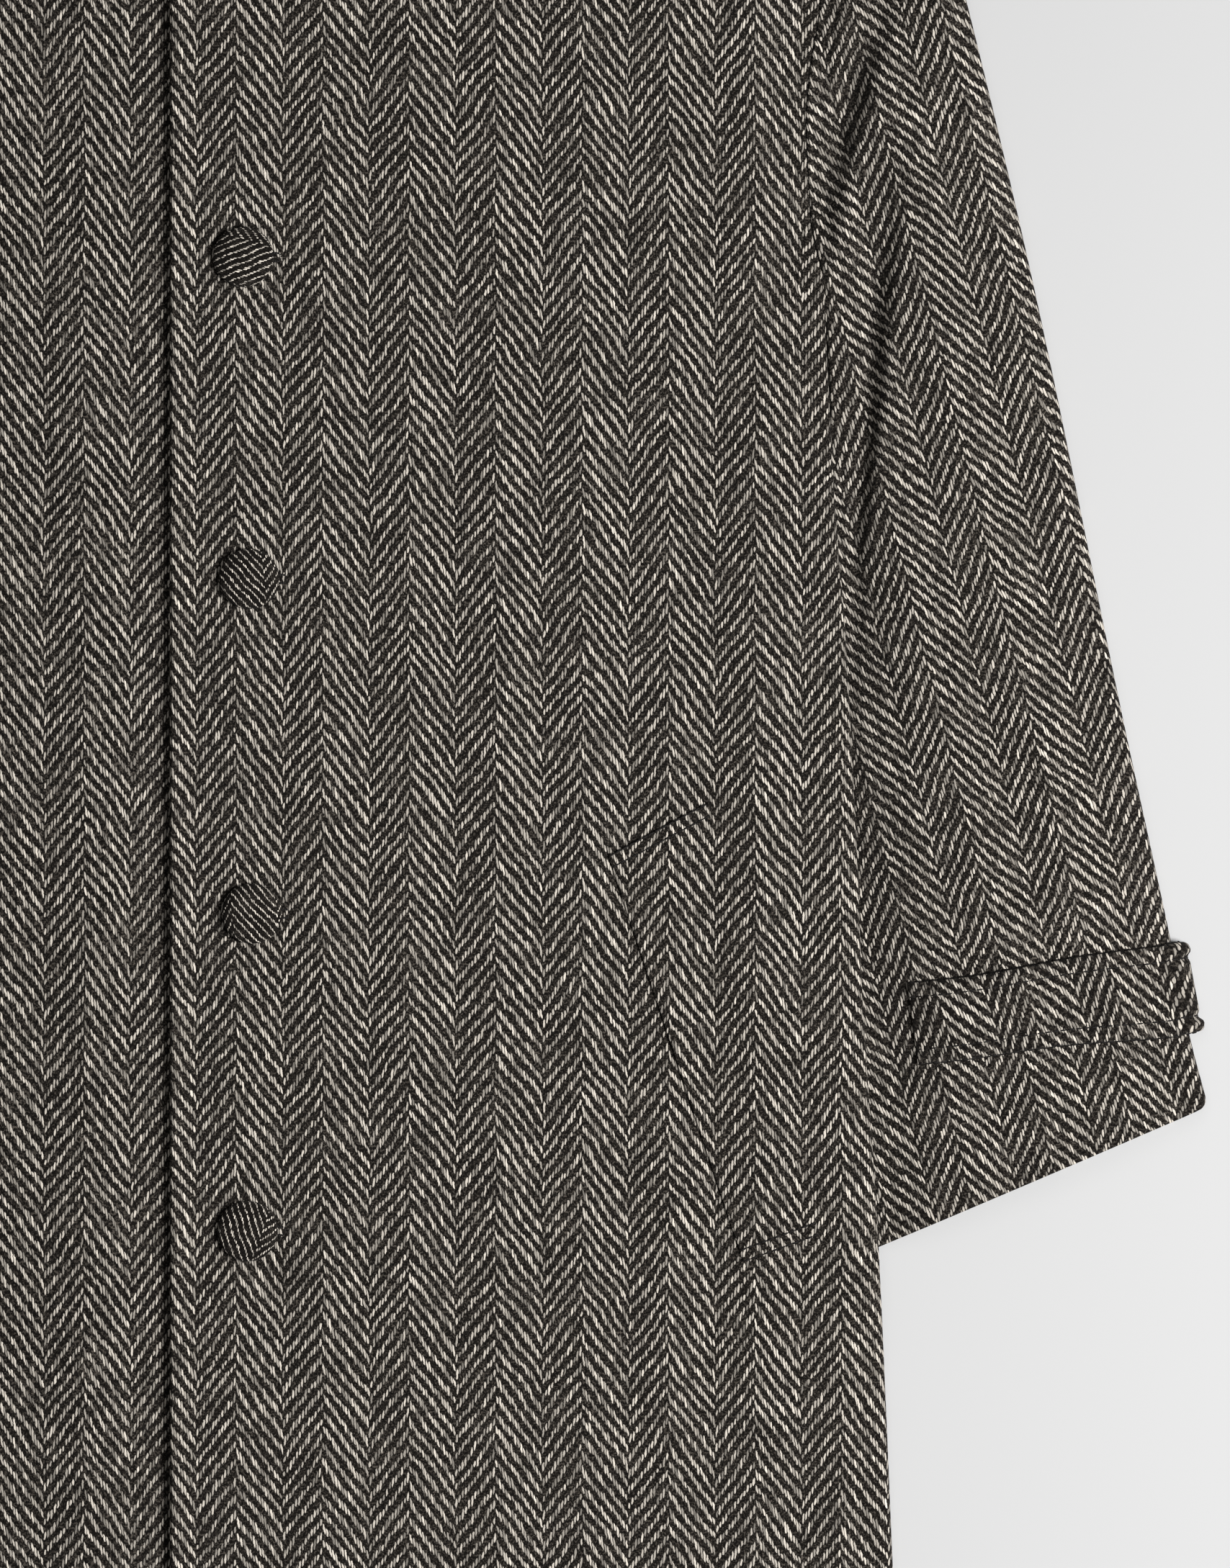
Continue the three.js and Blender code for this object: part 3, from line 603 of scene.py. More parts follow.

# soft creases of the body: from, to (across, down), half width, height
bodyCreases = {
    "left": [
        ((252, 205), (230, 330), 9, -0.9), ((258, 262), (205, 395), 13, -1.0),
        ((242, 250), (196, 320), 11, 0.8), ((262, 330), (226, 470), 14, -0.8),
        ((120, 120), (60, 260), 26, 0.5), ((225, 150), (214, 300), 12, 0.6),
        ((60, 470), (38, 700), 18, 0.35), ((150, 360), (110, 560), 30, 0.5),
        ((120, 860), (96, 1085), 22, 0.9), ((212, 830), (228, 1085), 26, -0.9),
        ((32, 900), (20, 1090), 16, 0.6), ((180, 640), (150, 840), 24, -0.5),
    ],
    "right": [
        ((250, 210), (226, 345), 10, -0.9), ((256, 270), (198, 380), 12, -1.0),
        ((238, 262), (188, 335), 12, 0.9), ((258, 345), (232, 455), 12, -0.7),
        ((128, 140), (70, 300), 24, 0.6), ((140, 820), (118, 1080), 24, 0.9),
        ((222, 880), (236, 1085), 22, -0.8), ((168, 420), (132, 640), 28, -0.5),
    ],
}
edgeFold = {"width": 14, "lift": 1.8, "thicker": 2.6}    # the front edge is folded over its facing
buttonDimple = {"wide": 18, "deep": 2.1}
# columns and rows of the body's pieces
bodySteps = {
    "neck": 27, "outer": 44, "shoulder": 16, "first": 3.2, "frontRow": 5.2, "backRow": 9.0,
    "neckRoll": 1.4, "creaseLimit": 1.6,
}


def backHeight(across, down):
    overSleeve = sideLift * sideOverSleeve(across, down)
    underCollar = (cloth["thick"] + cloth["gap"]) * neckLift(across, down)
    return backLevel + (overSleeve + underCollar)


def plainFrontHeight(across, down):
    return frontLevel + frontRise * sideOverSleeve(across, down)


def creaseHeight(across, down, lines, share):
    limit = bodySteps["creaseLimit"]
    return np.clip(softLines(across, down, lines) * share, -limit, limit)


def frontHeight(across, down):
    creased = creaseHeight(across, down, bodyCreases["left"], 1 - sideOverSleeve(across, down))
    folded = edgeFold["lift"] * (1 - smooth(0, edgeFold["width"], across + body["overlap"]))
    pulled = sum(buttonDimple["deep"] * np.exp(
        -((across - spec["across"]) ** 2 + (down - spec["down"]) ** 2) / buttonDimple["wide"] ** 2)
        for spec in buttons)
    return plainFrontHeight(across, down) + creased + folded - pulled


def underFrontHeight(across, down):
    sink = (frontLevel - tuckedLevel) * smooth(frontSink["start"], frontSink["end"], across)
    shown = (1 - sideOverSleeve(across, down)) * smooth(40, 80, across)
    return plainFrontHeight(across, down) - sink + creaseHeight(across, down, bodyCreases["right"], shown)


def bodyTops(columns, neckDrop):
    # where each column starts, on the neckline or the shoulder
    neckWide, shoulderWide = body["neckHalfWidth"], body["shoulderHalfWidth"]
    neckline = neckDrop * np.sqrt(1 - np.clip(np.abs(columns) / neckWide, 0, 1) ** 2)
    shoulder = body["shoulderDrop"] * (columns - neckWide) / (shoulderWide - neckWide)
    return np.where(columns < neckWide, neckline, shoulder)


def topRows(columns, tops, heightAt, levels, up):
    # rows that roll over the shoulder, and come to a plain edge at the neck
    isNeck = columns < body["neckHalfWidth"]
    rows = []
    for turn in rollTurns[::-1]:
        ridge = tops + np.where(isNeck, bodySteps["neckRoll"] * (1 - turn), 0)
        plainAt = place(columns, ridge, heightAt(columns, tops))
        plainOut = facing(columns.shape, 0, 0, up)
        turnAt, turnOut = rolled(columns, tops, 0, -1, levels[0](columns, tops), levels[1](columns, tops),
                                 up, turn)
        at = np.where(isNeck[:, None], plainAt, turnAt)
        rows.append((at, np.where(isNeck[:, None], plainOut, turnOut), at[:, :2]))
    return rows


def chestRows(columns, tops, heightAt, up):
    # rows that level out from the slanted shoulder, their ends on the armhole
    rows = []
    for t in np.linspace(0, 1, bodySteps["shoulder"])[1:-1]:
        down = mix(tops + rollReach, body["wholeFrom"], t)
        isEdge = np.arange(len(columns)) >= len(columns) - len(rollTurns)
        across = columns + np.where(isEdge, bodyEdge(down) - body["shoulderHalfWidth"], 0)
        at = place(across, down, heightAt(across, down))
        rows.append((at, facing(across.shape, 0, 0, up), at[:, :2]))
    return rows


def sideRoll(down, heightAt, levels, up):
    # the rolled side at the end of a row, with its flat place along the arc
    edge = bodyEdge(down)
    across = edge - rollReach * (1 - rollTurns)
    plainAt = place(across, down, heightAt(across, down))
    plainOut = facing(across.shape, 0, 0, up)
    top, low = levels[0](edge, down), levels[1](edge, down)
    turnAt, turnOut = rolled(edge, down, 1, 0, top, low, up, rollTurns)
    closed = smooth(body["pitDown"], body["sideClosed"], down)
    out = mix(plainOut, turnOut, closed)
    reach = (top - low) / 2 + half
    rollArc = rollTurns * mix(rollReach, reach * math.pi / 2, closed)
    arc = edge - mix(rollReach, reach, closed) + rollArc
    flat = np.stack([arc, np.full_like(arc, middleDown - down)], -1)
    return mix(plainAt, turnAt, closed), out / np.linalg.norm(out, axis=-1, keepdims=True), flat


def bodyGrid(firstColumns, neckDrop, heightAt, up, rowStep):
    # middle points of a body piece, the way out of the cloth, and each point's flat place
    neckWide, shoulderWide = body["neckHalfWidth"], body["shoulderHalfWidth"]
    flatEnd = shoulderWide - rollReach
    neckColumns = neckWide * np.sin(np.linspace(0, math.pi / 2, bodySteps["neck"])[1:])
    outerColumns = np.linspace(neckWide, flatEnd, bodySteps["outer"])[1:-1]
    columns = np.concatenate([firstColumns, neckColumns, outerColumns])
    allColumns = np.concatenate([columns, shoulderWide - rollReach * (1 - rollTurns)])
    tops = bodyTops(allColumns, neckDrop)
    levels = (heightAt, backHeight) if up > 0 else (plainFrontHeight, heightAt)
    rows = topRows(allColumns, tops, heightAt, levels, up) + chestRows(allColumns, tops, heightAt, up)
    for down in edgeSteps(body["wholeFrom"], body["length"], rowStep):
        edge = bodyEdge(down) - rollReach
        spread = neckWide + (columns - neckWide) * (edge - neckWide) / (flatEnd - neckWide)
        across = np.where(columns <= neckWide, columns, spread)
        at = place(across, down, heightAt(across, down))
        plain = at, facing(across.shape, 0, 0, up), at[:, :2]
        rows.append([np.concatenate(parts) for parts in zip(plain, sideRoll(down, heightAt, levels, up))])
    return [np.stack([row[i] for row in rows]) for i in range(3)]


def makeFront(name, node, side, heightAt, finish, shift):
    edge = -body["overlap"]
    near = [edge, edge + 0.15, edge + 0.5, edge + 1.1, edge + 2]
    first = np.concatenate([near, np.arange(edge + 4, 1, bodySteps["first"])])
    at, out, flat = bodyGrid(first, body["frontNeckDrop"], heightAt, 1, bodySteps["frontRow"])
    thick = cloth["thick"] + (edgeFold["thicker"] if side > 0 else 0) * (
        1 - smooth(0, edgeFold["width"], at[..., 0] - edge))
    seamReach = np.where(at[:, -1:, 1] > middleDown - body["pitDown"], seamRounding, 0)
    at, out, flat = mirrorGrid(at, out, flat, side)
    reach = (0, 1.2, 2.2, seamReach)
    piece = wallPiece(name, at, out, thick, flat - (shift, 0), finish, reach)
    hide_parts(node)


def makeBack():
    at, out, flat = bodyGrid(np.array([0.0]), body["backNeckDrop"], backHeight, -1, bodySteps["backRow"])
    at = np.concatenate([at[:, :0:-1] * (-1, 1, 1), at], axis=1)
    out = np.concatenate([out[:, :0:-1] * (-1, 1, 1), out], axis=1)
    flat = np.concatenate([flat[:, :0:-1] * (-1, 1), flat], axis=1)
    piece = wallPiece("backCloth", at, out, cloth["thick"], flat, bodyTweed, reach=(0, 1.2, 0, 0))
    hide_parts("back")


stripeShift = {"over": -24.0, "under": -54.5}    # where a valley of the herringbone runs

makeBack()
makeFront("rightFrontCloth", "front_right", -1, underFrontHeight, underFrontTweed, stripeShift["under"])
makeFront("leftFrontCloth", "front_left", 1, frontHeight, bodyTweed, stripeShift["over"])

print("sleeves")

sleeve = {"from": 60, "to": 738, "row": 4.6, "columns": 44, "inset": 4}
sleeveGrain = {"turn": 14.0, "valley": (316.0, 216.7)}
# creases of the top sleeves
sleeveCreases = {
    "left": [
        ((272, 262), (300, 330), 7, 0.7), ((300, 380), (296, 470), 10, 0.6),
        ((322, 150), (300, 240), 10, 0.6), ((330, 300), (346, 420), 14, -0.6),
        ((372, 420), (392, 520), 12, -0.6), ((305, 520), (330, 640), 14, 0.6),
        ((300, 585), (318, 612), 6, -0.7), ((340, 602), (352, 622), 5, -0.5),
        ((312, 655), (338, 668), 6, 0.7), ((372, 655), (402, 660), 6, -0.5),
        ((292, 110), (284, 170), 7, 0.6), ((282, 300), (272, 380), 6, 0.8),
        ((360, 560), (376, 606), 9, 0.5), ((300, 690), (330, 700), 7, 0.5),
    ],
    "right": [
        ((272, 270), (304, 342), 8, 0.7), ((302, 372), (292, 462), 9, 0.7),
        ((326, 160), (306, 235), 11, 0.6), ((334, 320), (352, 440), 13, -0.6),
        ((368, 430), (390, 540), 13, -0.6), ((308, 515), (326, 620), 13, 0.6),
        ((304, 588), (322, 614), 6, -0.7), ((316, 658), (346, 668), 6, 0.7),
        ((290, 118), (282, 178), 7, 0.6), ((376, 660), (404, 664), 6, -0.5),
    ],
}
hemFold = {"width": 13, "thicker": 1.6}
cuffCorner = 4.5
sleevePuff = {
    "height": 9.6, "power": 0.46, "cuffPower": 0.8, "cuffFrom": 480, "cuffFull": 620,
    "from": 80, "full": 230, "calmFrom": 560, "calmFull": 730, "calm": 0.45, "foldDeeper": 2.9,
}
# down, how far outside the edge of the body a sleeve starts to swell
puffStart = [(58, 0), (110, 3), (183, 9), (240, 6), (300, 10), (377, 5), (440, 2), (520, 0), (738, 0)]


def topSleeveHeight(across, down, which):
    edge = bodyEdge(down)
    under = smooth(sleeveSink["start"], sleeveSink["full"], down) * smooth(
        edge + sleeveSink["outside"], edge + sleeveSink["inside"], across)
    start = edge + readAt(puffStart, down)
    acrossSleeve = np.clip((across - start) / np.maximum(20, readAt(sleeveEdge, down) - start), 0, 1)
    power = mix(sleevePuff["power"], sleevePuff["cuffPower"],
                smooth(sleevePuff["cuffFrom"], sleevePuff["cuffFull"], down))
    calm = 1 - sleevePuff["calm"] * smooth(sleevePuff["calmFrom"], sleevePuff["calmFull"], down)
    puff = sleevePuff["height"] * np.sin(math.pi * acrossSleeve) ** power
    puff = puff * smooth(sleevePuff["from"], sleevePuff["full"], down) * calm
    fold = foldDepth(across, down) * sleevePuff["foldDeeper"]
    sink = np.maximum((frontLevel - tuckedLevel) * under, fold)
    creased = creaseHeight(across, down, sleeveCreases[which], 1 - under)
    return np.maximum(frontLevel + puff - sink + creased, tuckedLevel + 0.1)


def alongGrain(x, down, degrees):
    # turns a spot so that the warp runs along the sleeve
    angle = math.radians(degrees)
    return np.stack([x * math.cos(angle) - down * math.sin(angle),
                     -x * math.sin(angle) - down * math.cos(angle)], -1)


def sleeveRows():
    # each row's start on the inner side, its direction and its length to the outer edge
    inner = edgeSteps(sleeve["from"], sleeve["to"], sleeve["row"], fine=(0.15, 0.5, 1.1, 2.2))
    outer = readAt(sleeveSections, inner)
    start = np.stack([sleeveInnerEdge(inner), inner], -1)
    line = np.stack([readAt(sleeveEdge, outer), outer], -1) - start
    length = np.linalg.norm(line, axis=1)
    line = line / length[:, None]
    toHem = np.clip((sleeve["to"] - inner) / cuffCorner, 0, 1)
    return inner, start, line, length - cuffCorner * (1 - np.sqrt(1 - (1 - toHem) ** 2))


def sleeveGrid(up, which):
    inner, start, line, length = sleeveRows()
    inset = np.minimum(sleeve["inset"], length * 0.2)

    def level(across, down):
        if up > 0:
            return topSleeveHeight(across, down, which)
        return np.full(np.shape(across), backLevel)

    def spot(distance):
        return start[:, None, :] + line[:, None, :] * distance[..., None]

    def flatPart(distance):
        p = spot(distance)
        at = place(p[..., 0], p[..., 1], level(p[..., 0], p[..., 1]))
        return at, facing(distance.shape, 0, 0, up)

    def rollPart(distance, sign):
        p = spot(np.broadcast_to(distance[:, None], (len(inner), len(rollTurns))))
        inside = spot((distance - sign * sleeve["inset"])[:, None])
        top = topSleeveHeight(inside[..., 0], inside[..., 1], which)
        return rolled(p[..., 0], p[..., 1], sign * line[:, None, 0], sign * line[:, None, 1], top,
                      np.full_like(top, backLevel), up, rollTurns[None, :])

    closed = smooth(body["pitDown"], body["sideClosed"], inner)[:, None, None]
    plainAt, plainOut = flatPart(inset[:, None] * (1 - rollTurns[None, :]))
    turnAt, turnOut = rollPart(np.zeros(len(inner)), -1)
    innerAt, innerOut = mix(plainAt, turnAt, closed), mix(plainOut, turnOut, closed)
    innerOut /= np.linalg.norm(innerOut, axis=-1, keepdims=True)
    flatFrom = mix(inset, np.full_like(inset, rollReach), closed[:, 0, 0])
    t = np.linspace(0, 1, sleeve["columns"])[1:-1]
    flatAt, flatOut = flatPart(flatFrom[:, None] + (length - rollReach - flatFrom)[:, None] * t[None, :])
    outerAt, outerOut = rollPart(length, 1)
    at = np.concatenate([innerAt[:, ::-1], flatAt, outerAt], axis=1)
    out = np.concatenate([innerOut[:, ::-1], flatOut, outerOut], axis=1)

    # the cloth's own flat place: along the grain, and round the rolls by their arcs
    originX, originDown = sleeveGrain["valley"]
    flat = alongGrain(at[..., 0] - originX, middleDown - at[..., 1] - originDown, sleeveGrain["turn"])
    rollExtra = rollReach * (rollTurns * math.pi / 2 - np.sin(rollTurns * math.pi / 2))
    arc = np.zeros(at.shape[:2])
    arc[:, -len(rollTurns):] = rollExtra
    arc[:, :len(rollTurns)] = -rollExtra[::-1] * closed[..., 0]
    flat[..., 0] += arc
    return at, out, flat, inner


def makeSleevePiece(name, node, side, up, which):
    at, out, flat, inner = sleeveGrid(up, which)
    thick = cloth["thick"] + np.zeros(at.shape[:2])
    if up > 0:
        hem = hemFold["thicker"] * (1 - smooth(0, hemFold["width"], sleeve["to"] - inner))
        inside = slice(len(rollTurns), -len(rollTurns))
        at[:, inside, 2] += hem[:, None] * 0.5
        thick[:, inside] += hem[:, None]
    seamReach = np.where(inner < body["pitDown"], seamRounding, 0)[:, None]
    at, out, flat = mirrorGrid(at, out, flat, side)
    piece = wallPiece(name, at, out, thick, flat, sleeveTweed, reach=(2.4, 1.8, seamReach, 0))
    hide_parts(node)


for which, side in (("left", 1), ("right", -1)):
    makeSleevePiece(which + "UnderSleeve", "sleeve_under_" + which, side, -1, which)
    makeSleevePiece(which + "TopSleeve", "sleeve_top_" + which, side, 1, which)

print("straps and welts")

seamThread = {"radius": 0.6, "long": 2.8, "apart": 0.8}
# the dark thread line along the strap's long edges is a painted shadow line
strapShadowThread = {"radius": 0.75, "long": 3.2, "apart": 0.2}
weltStitchAndShadowThread = {"radius": 0.55, "long": 3.2, "apart": 0.2}
bead = {"around": 6, "rings": 5, "first": 0.4, "thin": 0.2, "swell": 0.6}


def unit(rows):
    return rows / np.linalg.norm(rows, axis=-1, keepdims=True)


def beadPoints(middle, up, radius):
    # rings round one dash of thread, thin at both ends
    along = middle[-1] - middle[0]
    aside = np.cross(along / np.linalg.norm(along), up)
    points = []
    for k in range(bead["rings"]):
        swell = radius * math.sin(math.pi * (bead["thin"] + bead["swell"] * k / (bead["rings"] - 1)))
        for j in range(bead["around"]):
            turn = j / bead["around"] * math.tau
            points.append(middle[k] + aside[k] * swell * math.cos(turn) + up[k] * swell * math.sin(turn))
    return points


def threadDashRun(name, runs, thread):
    # dashes of dark thread laid on a surface along each run of places: sewn stitches, and painted shadow
    # lines
    points, faces = [], []
    around, rings = bead["around"], bead["rings"]
    for path, outward in runs:
        walked = np.concatenate([[0], np.cumsum(np.linalg.norm(np.diff(path, axis=0), axis=1))])
        long = thread["long"]
        for start in np.arange(bead["first"], walked[-1] - long, long + thread["apart"]):
            at = start + long * np.linspace(0, 1, rings)
            middle = np.stack([np.interp(at, walked, path[:, i]) for i in range(3)], -1)
            up = unit(np.stack([np.interp(at, walked, outward[:, i]) for i in range(3)], -1))
            first, last = len(points), len(points) + (rings - 1) * around
            points += beadPoints(middle, up, thread["radius"])
            faces += ringFaces(first, rings, around)
            faces.append(tuple(range(first, first + around))[::-1])
            faces.append(tuple(range(last, last + around)))
    piece = addPiece(name, points, faces, darkThread)


strap = {
    "thick": 4.2, "endThick": 1.7, "endReach": 16, "width": 37.6, "flare": 0.12,
    "start": (307.5, 630.5), "end": (437.0, 613.5), "bow": 2.5, "wrap": -30,
    "ridge": 3.4, "ridgeWide": 2.6, "ridgeHeight": 2.6, "seam": 6.4, "seamWide": 1.3, "seamDepth": 3.4,
    "pucker": 0.36, "middle": 0.35, "wander": 0.6, "long": 140, "columns": 82, "wrapColumns": 22,
    "grainTurn": 3, "grainShift": (13, 3.4), "shadowLineSink": 0.3,
}


def strapRelief(offset, along, salt):
    # the edges roll over a line of stitches that draws the cloth in
    inside = strap["width"] / 2 - np.abs(offset)
    waves = np.sin(along / 3.1 + salt) + np.sin(along / 5.3 + 2.1 * salt) + np.sin(along / 1.9 + offset / 6)
    uneven = waves / 3
    ridge = strap["ridgeHeight"] * (1 + strap["pucker"] * uneven)
    ridge = ridge * np.exp(-((inside - strap["ridge"]) / strap["ridgeWide"]) ** 2)
    seam = strap["seamDepth"] * (1 + 0.5 * uneven)
    seam = seam * np.exp(-((inside - strap["seam"]) / strap["seamWide"]) ** 2)
    return ridge - seam + strap["middle"] * uneven * smooth(8, 14, inside)


def strapRow(begin, line, across, offset, which):
    # one line along the strap, over the sleeve and round its outer edge
    radius = rollReach + cloth["gap"] + strap["thick"] / 2
    reach = 0.0
    for _ in range(8):    # steps out to where the line meets the sleeve's edge
        spot = begin + line * reach
        reach += (float(readAt(sleeveEdge, spot[1])) - spot[0]) / line[0]
    flatEnd = reach - rollReach
    s = edgeSteps(0, flatEnd, 1.6, fine=(0.15, 0.5, 1.0, 1.6))
    s = np.interp(np.linspace(0, 1, strap["columns"]), np.linspace(0, 1, len(s)), s)
    steps = np.linspace(0, strap["long"], strap["long"])
    wander = np.interp(s, steps, strap["wander"] * np.sin(np.linspace(0, 9, strap["long"])))
    spread = offset * strap["flare"] * smooth(0.3, 1.0, s / flatEnd)
    spots = begin + line * s[:, None] + across * (wander + spread)[:, None]
    height = topSleeveHeight(spots[:, 0], spots[:, 1], which)
    lieAbove = half + cloth["gap"] + strap["thick"] / 2
    flatAt = place(spots[:, 0], spots[:, 1], np.maximum(height, frontLevel - 0.6) + lieAbove)

    angle = np.radians(np.linspace(90, strap["wrap"], strap["wrapColumns"])[1:])
    distance = flatEnd + radius * np.cos(angle) + strap["bow"] * np.cos(angle * 0.9) ** 2
    turned = begin + line * distance[:, None] + across * offset * strap["flare"]
    turnAt = place(turned[:, 0], turned[:, 1], (frontLevel + backLevel) / 2 + radius * np.sin(angle))
    turnOut = facing(angle.shape, line[0] * np.cos(angle), -line[1] * np.cos(angle), np.sin(angle))
    arc = np.concatenate([s, flatEnd + radius * (math.pi / 2 - angle)])
    return np.concatenate([flatAt, turnAt]), np.concatenate([facing(s.shape, 0, 0, 1), turnOut]), arc


def makeStrap(name, node, side, which, salt):
    start, end = np.array(strap["start"]), np.array(strap["end"])
    line = (end - start) / np.linalg.norm(end - start)
    across = np.array([-line[1], line[0]])
    offsets = edgeSteps(-strap["width"] / 2, strap["width"] / 2, 1.1, fine=(0.1, 0.4, 0.9, 1.5))
    rows = [strapRow(start + across * offset, line, across, offset, which) for offset in offsets]
    at, out, arc = [np.stack([row[i] for row in rows]) for i in range(3)]
    thick = mix(strap["endThick"], strap["thick"], smooth(0, strap["endReach"], arc))
    lift = strapRelief(offsets[:, None], arc, salt) * 0.5 - (strap["thick"] - thick) / 2
    at = at + out * lift[..., None]
    originX, originDown = sleeveGrain["valley"]
    spots = start + line * arc[..., None] + across * offsets[:, None, None]
    flat = alongGrain(spots[..., 0] - originX, spots[..., 1] - originDown,
                      sleeveGrain["turn"] + strap["grainTurn"]) + strap["grainShift"]
    at, out, flat = mirrorGrid(at, out, flat, side)

    seamAt = strap["width"] / 2 - strap["seam"]
    seams = [int(np.argmin(np.abs(offsets - edge * seamAt))) for edge in (-1, 1)]
    runs = [(at[k] + out[k] * thick[k][:, None] / 2, out[k]) for k in seams]
    threadDashRun(which + "StrapStitches", runs, seamThread)
    # dark thread along both long edges of the strap: a painted shadow line under its rolled edge
    foot = out * (thick / 2 - strap["shadowLineSink"])[..., None]
    runs = [(at[k] - foot[k], out[k]) for k in (0, -1)]
    threadDashRun(which + "StrapShadowLine", runs, strapShadowThread)
    piece = wallPiece(name, at, out, thick, flat, trimTweed, reach=(2.1, 2.1, 1.2, 1.6))
    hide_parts(node)


welt = {
    "thick": 1.2, "topIn": (167, 553.3), "topOut": (213.7, 528.3), "lowIn": (229.3, 740.7),
    "lowOut": (266, 727.3), "long": 195, "wide": 50, "stitchInset": 5.0, "stitchWide": 1.2,
    "stitchDeep": 0.5, "endShadowLineLift": 0.15,
}


def weltSpot(s, t):
    corners = ("topIn", "topOut", "lowIn", "lowOut")
    topIn, topOut, lowIn, lowOut = (np.array(welt[corner], float) for corner in corners)
    s, t = np.asarray(s)[..., None], np.asarray(t)[..., None]
    return mix(mix(topIn, lowIn, t), mix(topOut, lowOut, t), s)


def makeWelt(name, node, side, which, heightAt, shift, finish):
    long, wide, inset = welt["long"], welt["wide"], welt["stitchInset"]
    t = edgeSteps(0, long, 2.6, fine=(0.2, 0.7, 1.5, 2.6)) / long
    s = edgeSteps(0, wide, 1.8, fine=(0.2, 0.7, 1.5, 2.6)) / wide
    spots = weltSpot(s[None, :], t[:, None])
    x, down = spots[..., 0], spots[..., 1]
    level = np.maximum(heightAt(x, down), plainFrontHeight(x, down))
    level = level + half + cloth["gap"] + welt["thick"] / 2
    toEnd = np.minimum(t[:, None] * long, (1 - t[:, None]) * long)
    stitched = np.exp(-((toEnd - inset) / welt["stitchWide"]) ** 2)
    uneven = 0.7 + 0.3 * np.sin(s[None, :] * 40)
    at = place(x, down, level - welt["stitchDeep"] * stitched * uneven)
    at, out, flat = mirrorGrid(at, facing(x.shape, 0, 0, 1), at[..., :2], side)
    rows = [int(np.argmin(np.abs(t * long - along))) for along in (inset, long - inset)]
    runs = [(at[k] + out[k] * welt["thick"] / 2, out[k]) for k in rows]
    # the thread along each end edge is partly the seam there and partly a painted shadow line
    runs += [(at[k] + out[k] * welt["endShadowLineLift"], out[k]) for k in (0, -1)]
    threadDashRun(which + "WeltStitchesAndShadowLines", runs, weltStitchAndShadowThread)
    piece = wallPiece(name, at, out, welt["thick"], flat - (shift, 0), finish, reach=(1.6, 1.6, 2.6, 2.6))
    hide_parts(node)


makeStrap("leftCuffStrap", "sleeve_strap_left", 1, "left", 0.4)
makeStrap("rightCuffStrap", "sleeve_strap_right", -1, "right", 1.7)
makeWelt("leftPocketWelt", "pocket_welt_left", 1, "left", frontHeight, stripeShift["over"], bodyTweed)
makeWelt("rightPocketWelt", "pocket_welt_right", -1, "right", underFrontHeight, stripeShift["under"],
         underFrontTweed)

print("collar")


def neckCurve(width, drop, start, angle):
    return np.stack([width * np.sin(angle), start + drop * np.cos(angle)], -1)


collarMiddle = (frontLevel + backLevel + cloth["thick"] + cloth["gap"]) / 2
standRadius = frontLevel - collarMiddle


def collarPiece(name, node, front, back, fold, radius, steps, wide):
    firstAngle = math.asin(collar["halfGap"] / body["neckHalfWidth"])
    frontAngles = edgeSteps(math.degrees(firstAngle), 90, 2.4, fine=(0.08, 0.3, 0.7, 1.3)) * math.pi / 180
    backAngles = np.radians(np.linspace(90, 0, 34))
    foldAngles = np.radians(np.linspace(90, -90, 15)[1:-1])
    atRows, outRows, flatRows = [], [], []
    for t in steps:
        fronts, backs = front(frontAngles, t), back(backAngles, t)
        corner, outward = fold(t)
        foldAt = corner + outward * (radius * np.cos(foldAngles))[:, None]
        at = np.concatenate([
            place(fronts[:, 0], fronts[:, 1], np.full(len(fronts), collarMiddle + radius)),
            place(foldAt[:, 0], foldAt[:, 1], collarMiddle + radius * np.sin(foldAngles)),
            place(backs[:, 0], backs[:, 1], np.full(len(backs), collarMiddle - radius)),
        ])
        out = np.concatenate([
            facing((len(fronts),), 0, 0, 1),
            facing(foldAngles.shape, outward[0] * np.cos(foldAngles), -outward[1] * np.cos(foldAngles),
                   np.sin(foldAngles)),
            facing((len(backs),), 0, 0, -1),
        ])
        walked = np.concatenate([[0], np.cumsum(np.linalg.norm(np.diff(at, axis=0), axis=1))])
        atRows.append(at)
        outRows.append(out)
        flatRows.append(np.stack([walked - walked[-1], np.full(len(at), -t * wide)], -1))
    at, out, flat = np.stack(atRows), np.stack(outRows), np.stack(flatRows)
    at = np.concatenate([at, at[:, -2::-1] * (-1, 1, 1)], axis=1)
    out = np.concatenate([out, out[:, -2::-1] * (-1, 1, 1)], axis=1)
    flat = np.concatenate([flat, flat[:, -2::-1] * (-1, 1)], axis=1)
    piece = wallPiece(name, at, out, cloth["thick"], flat, bodyTweed, reach=(1.6, 1.2, 1.2, 1.2))
    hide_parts(node)


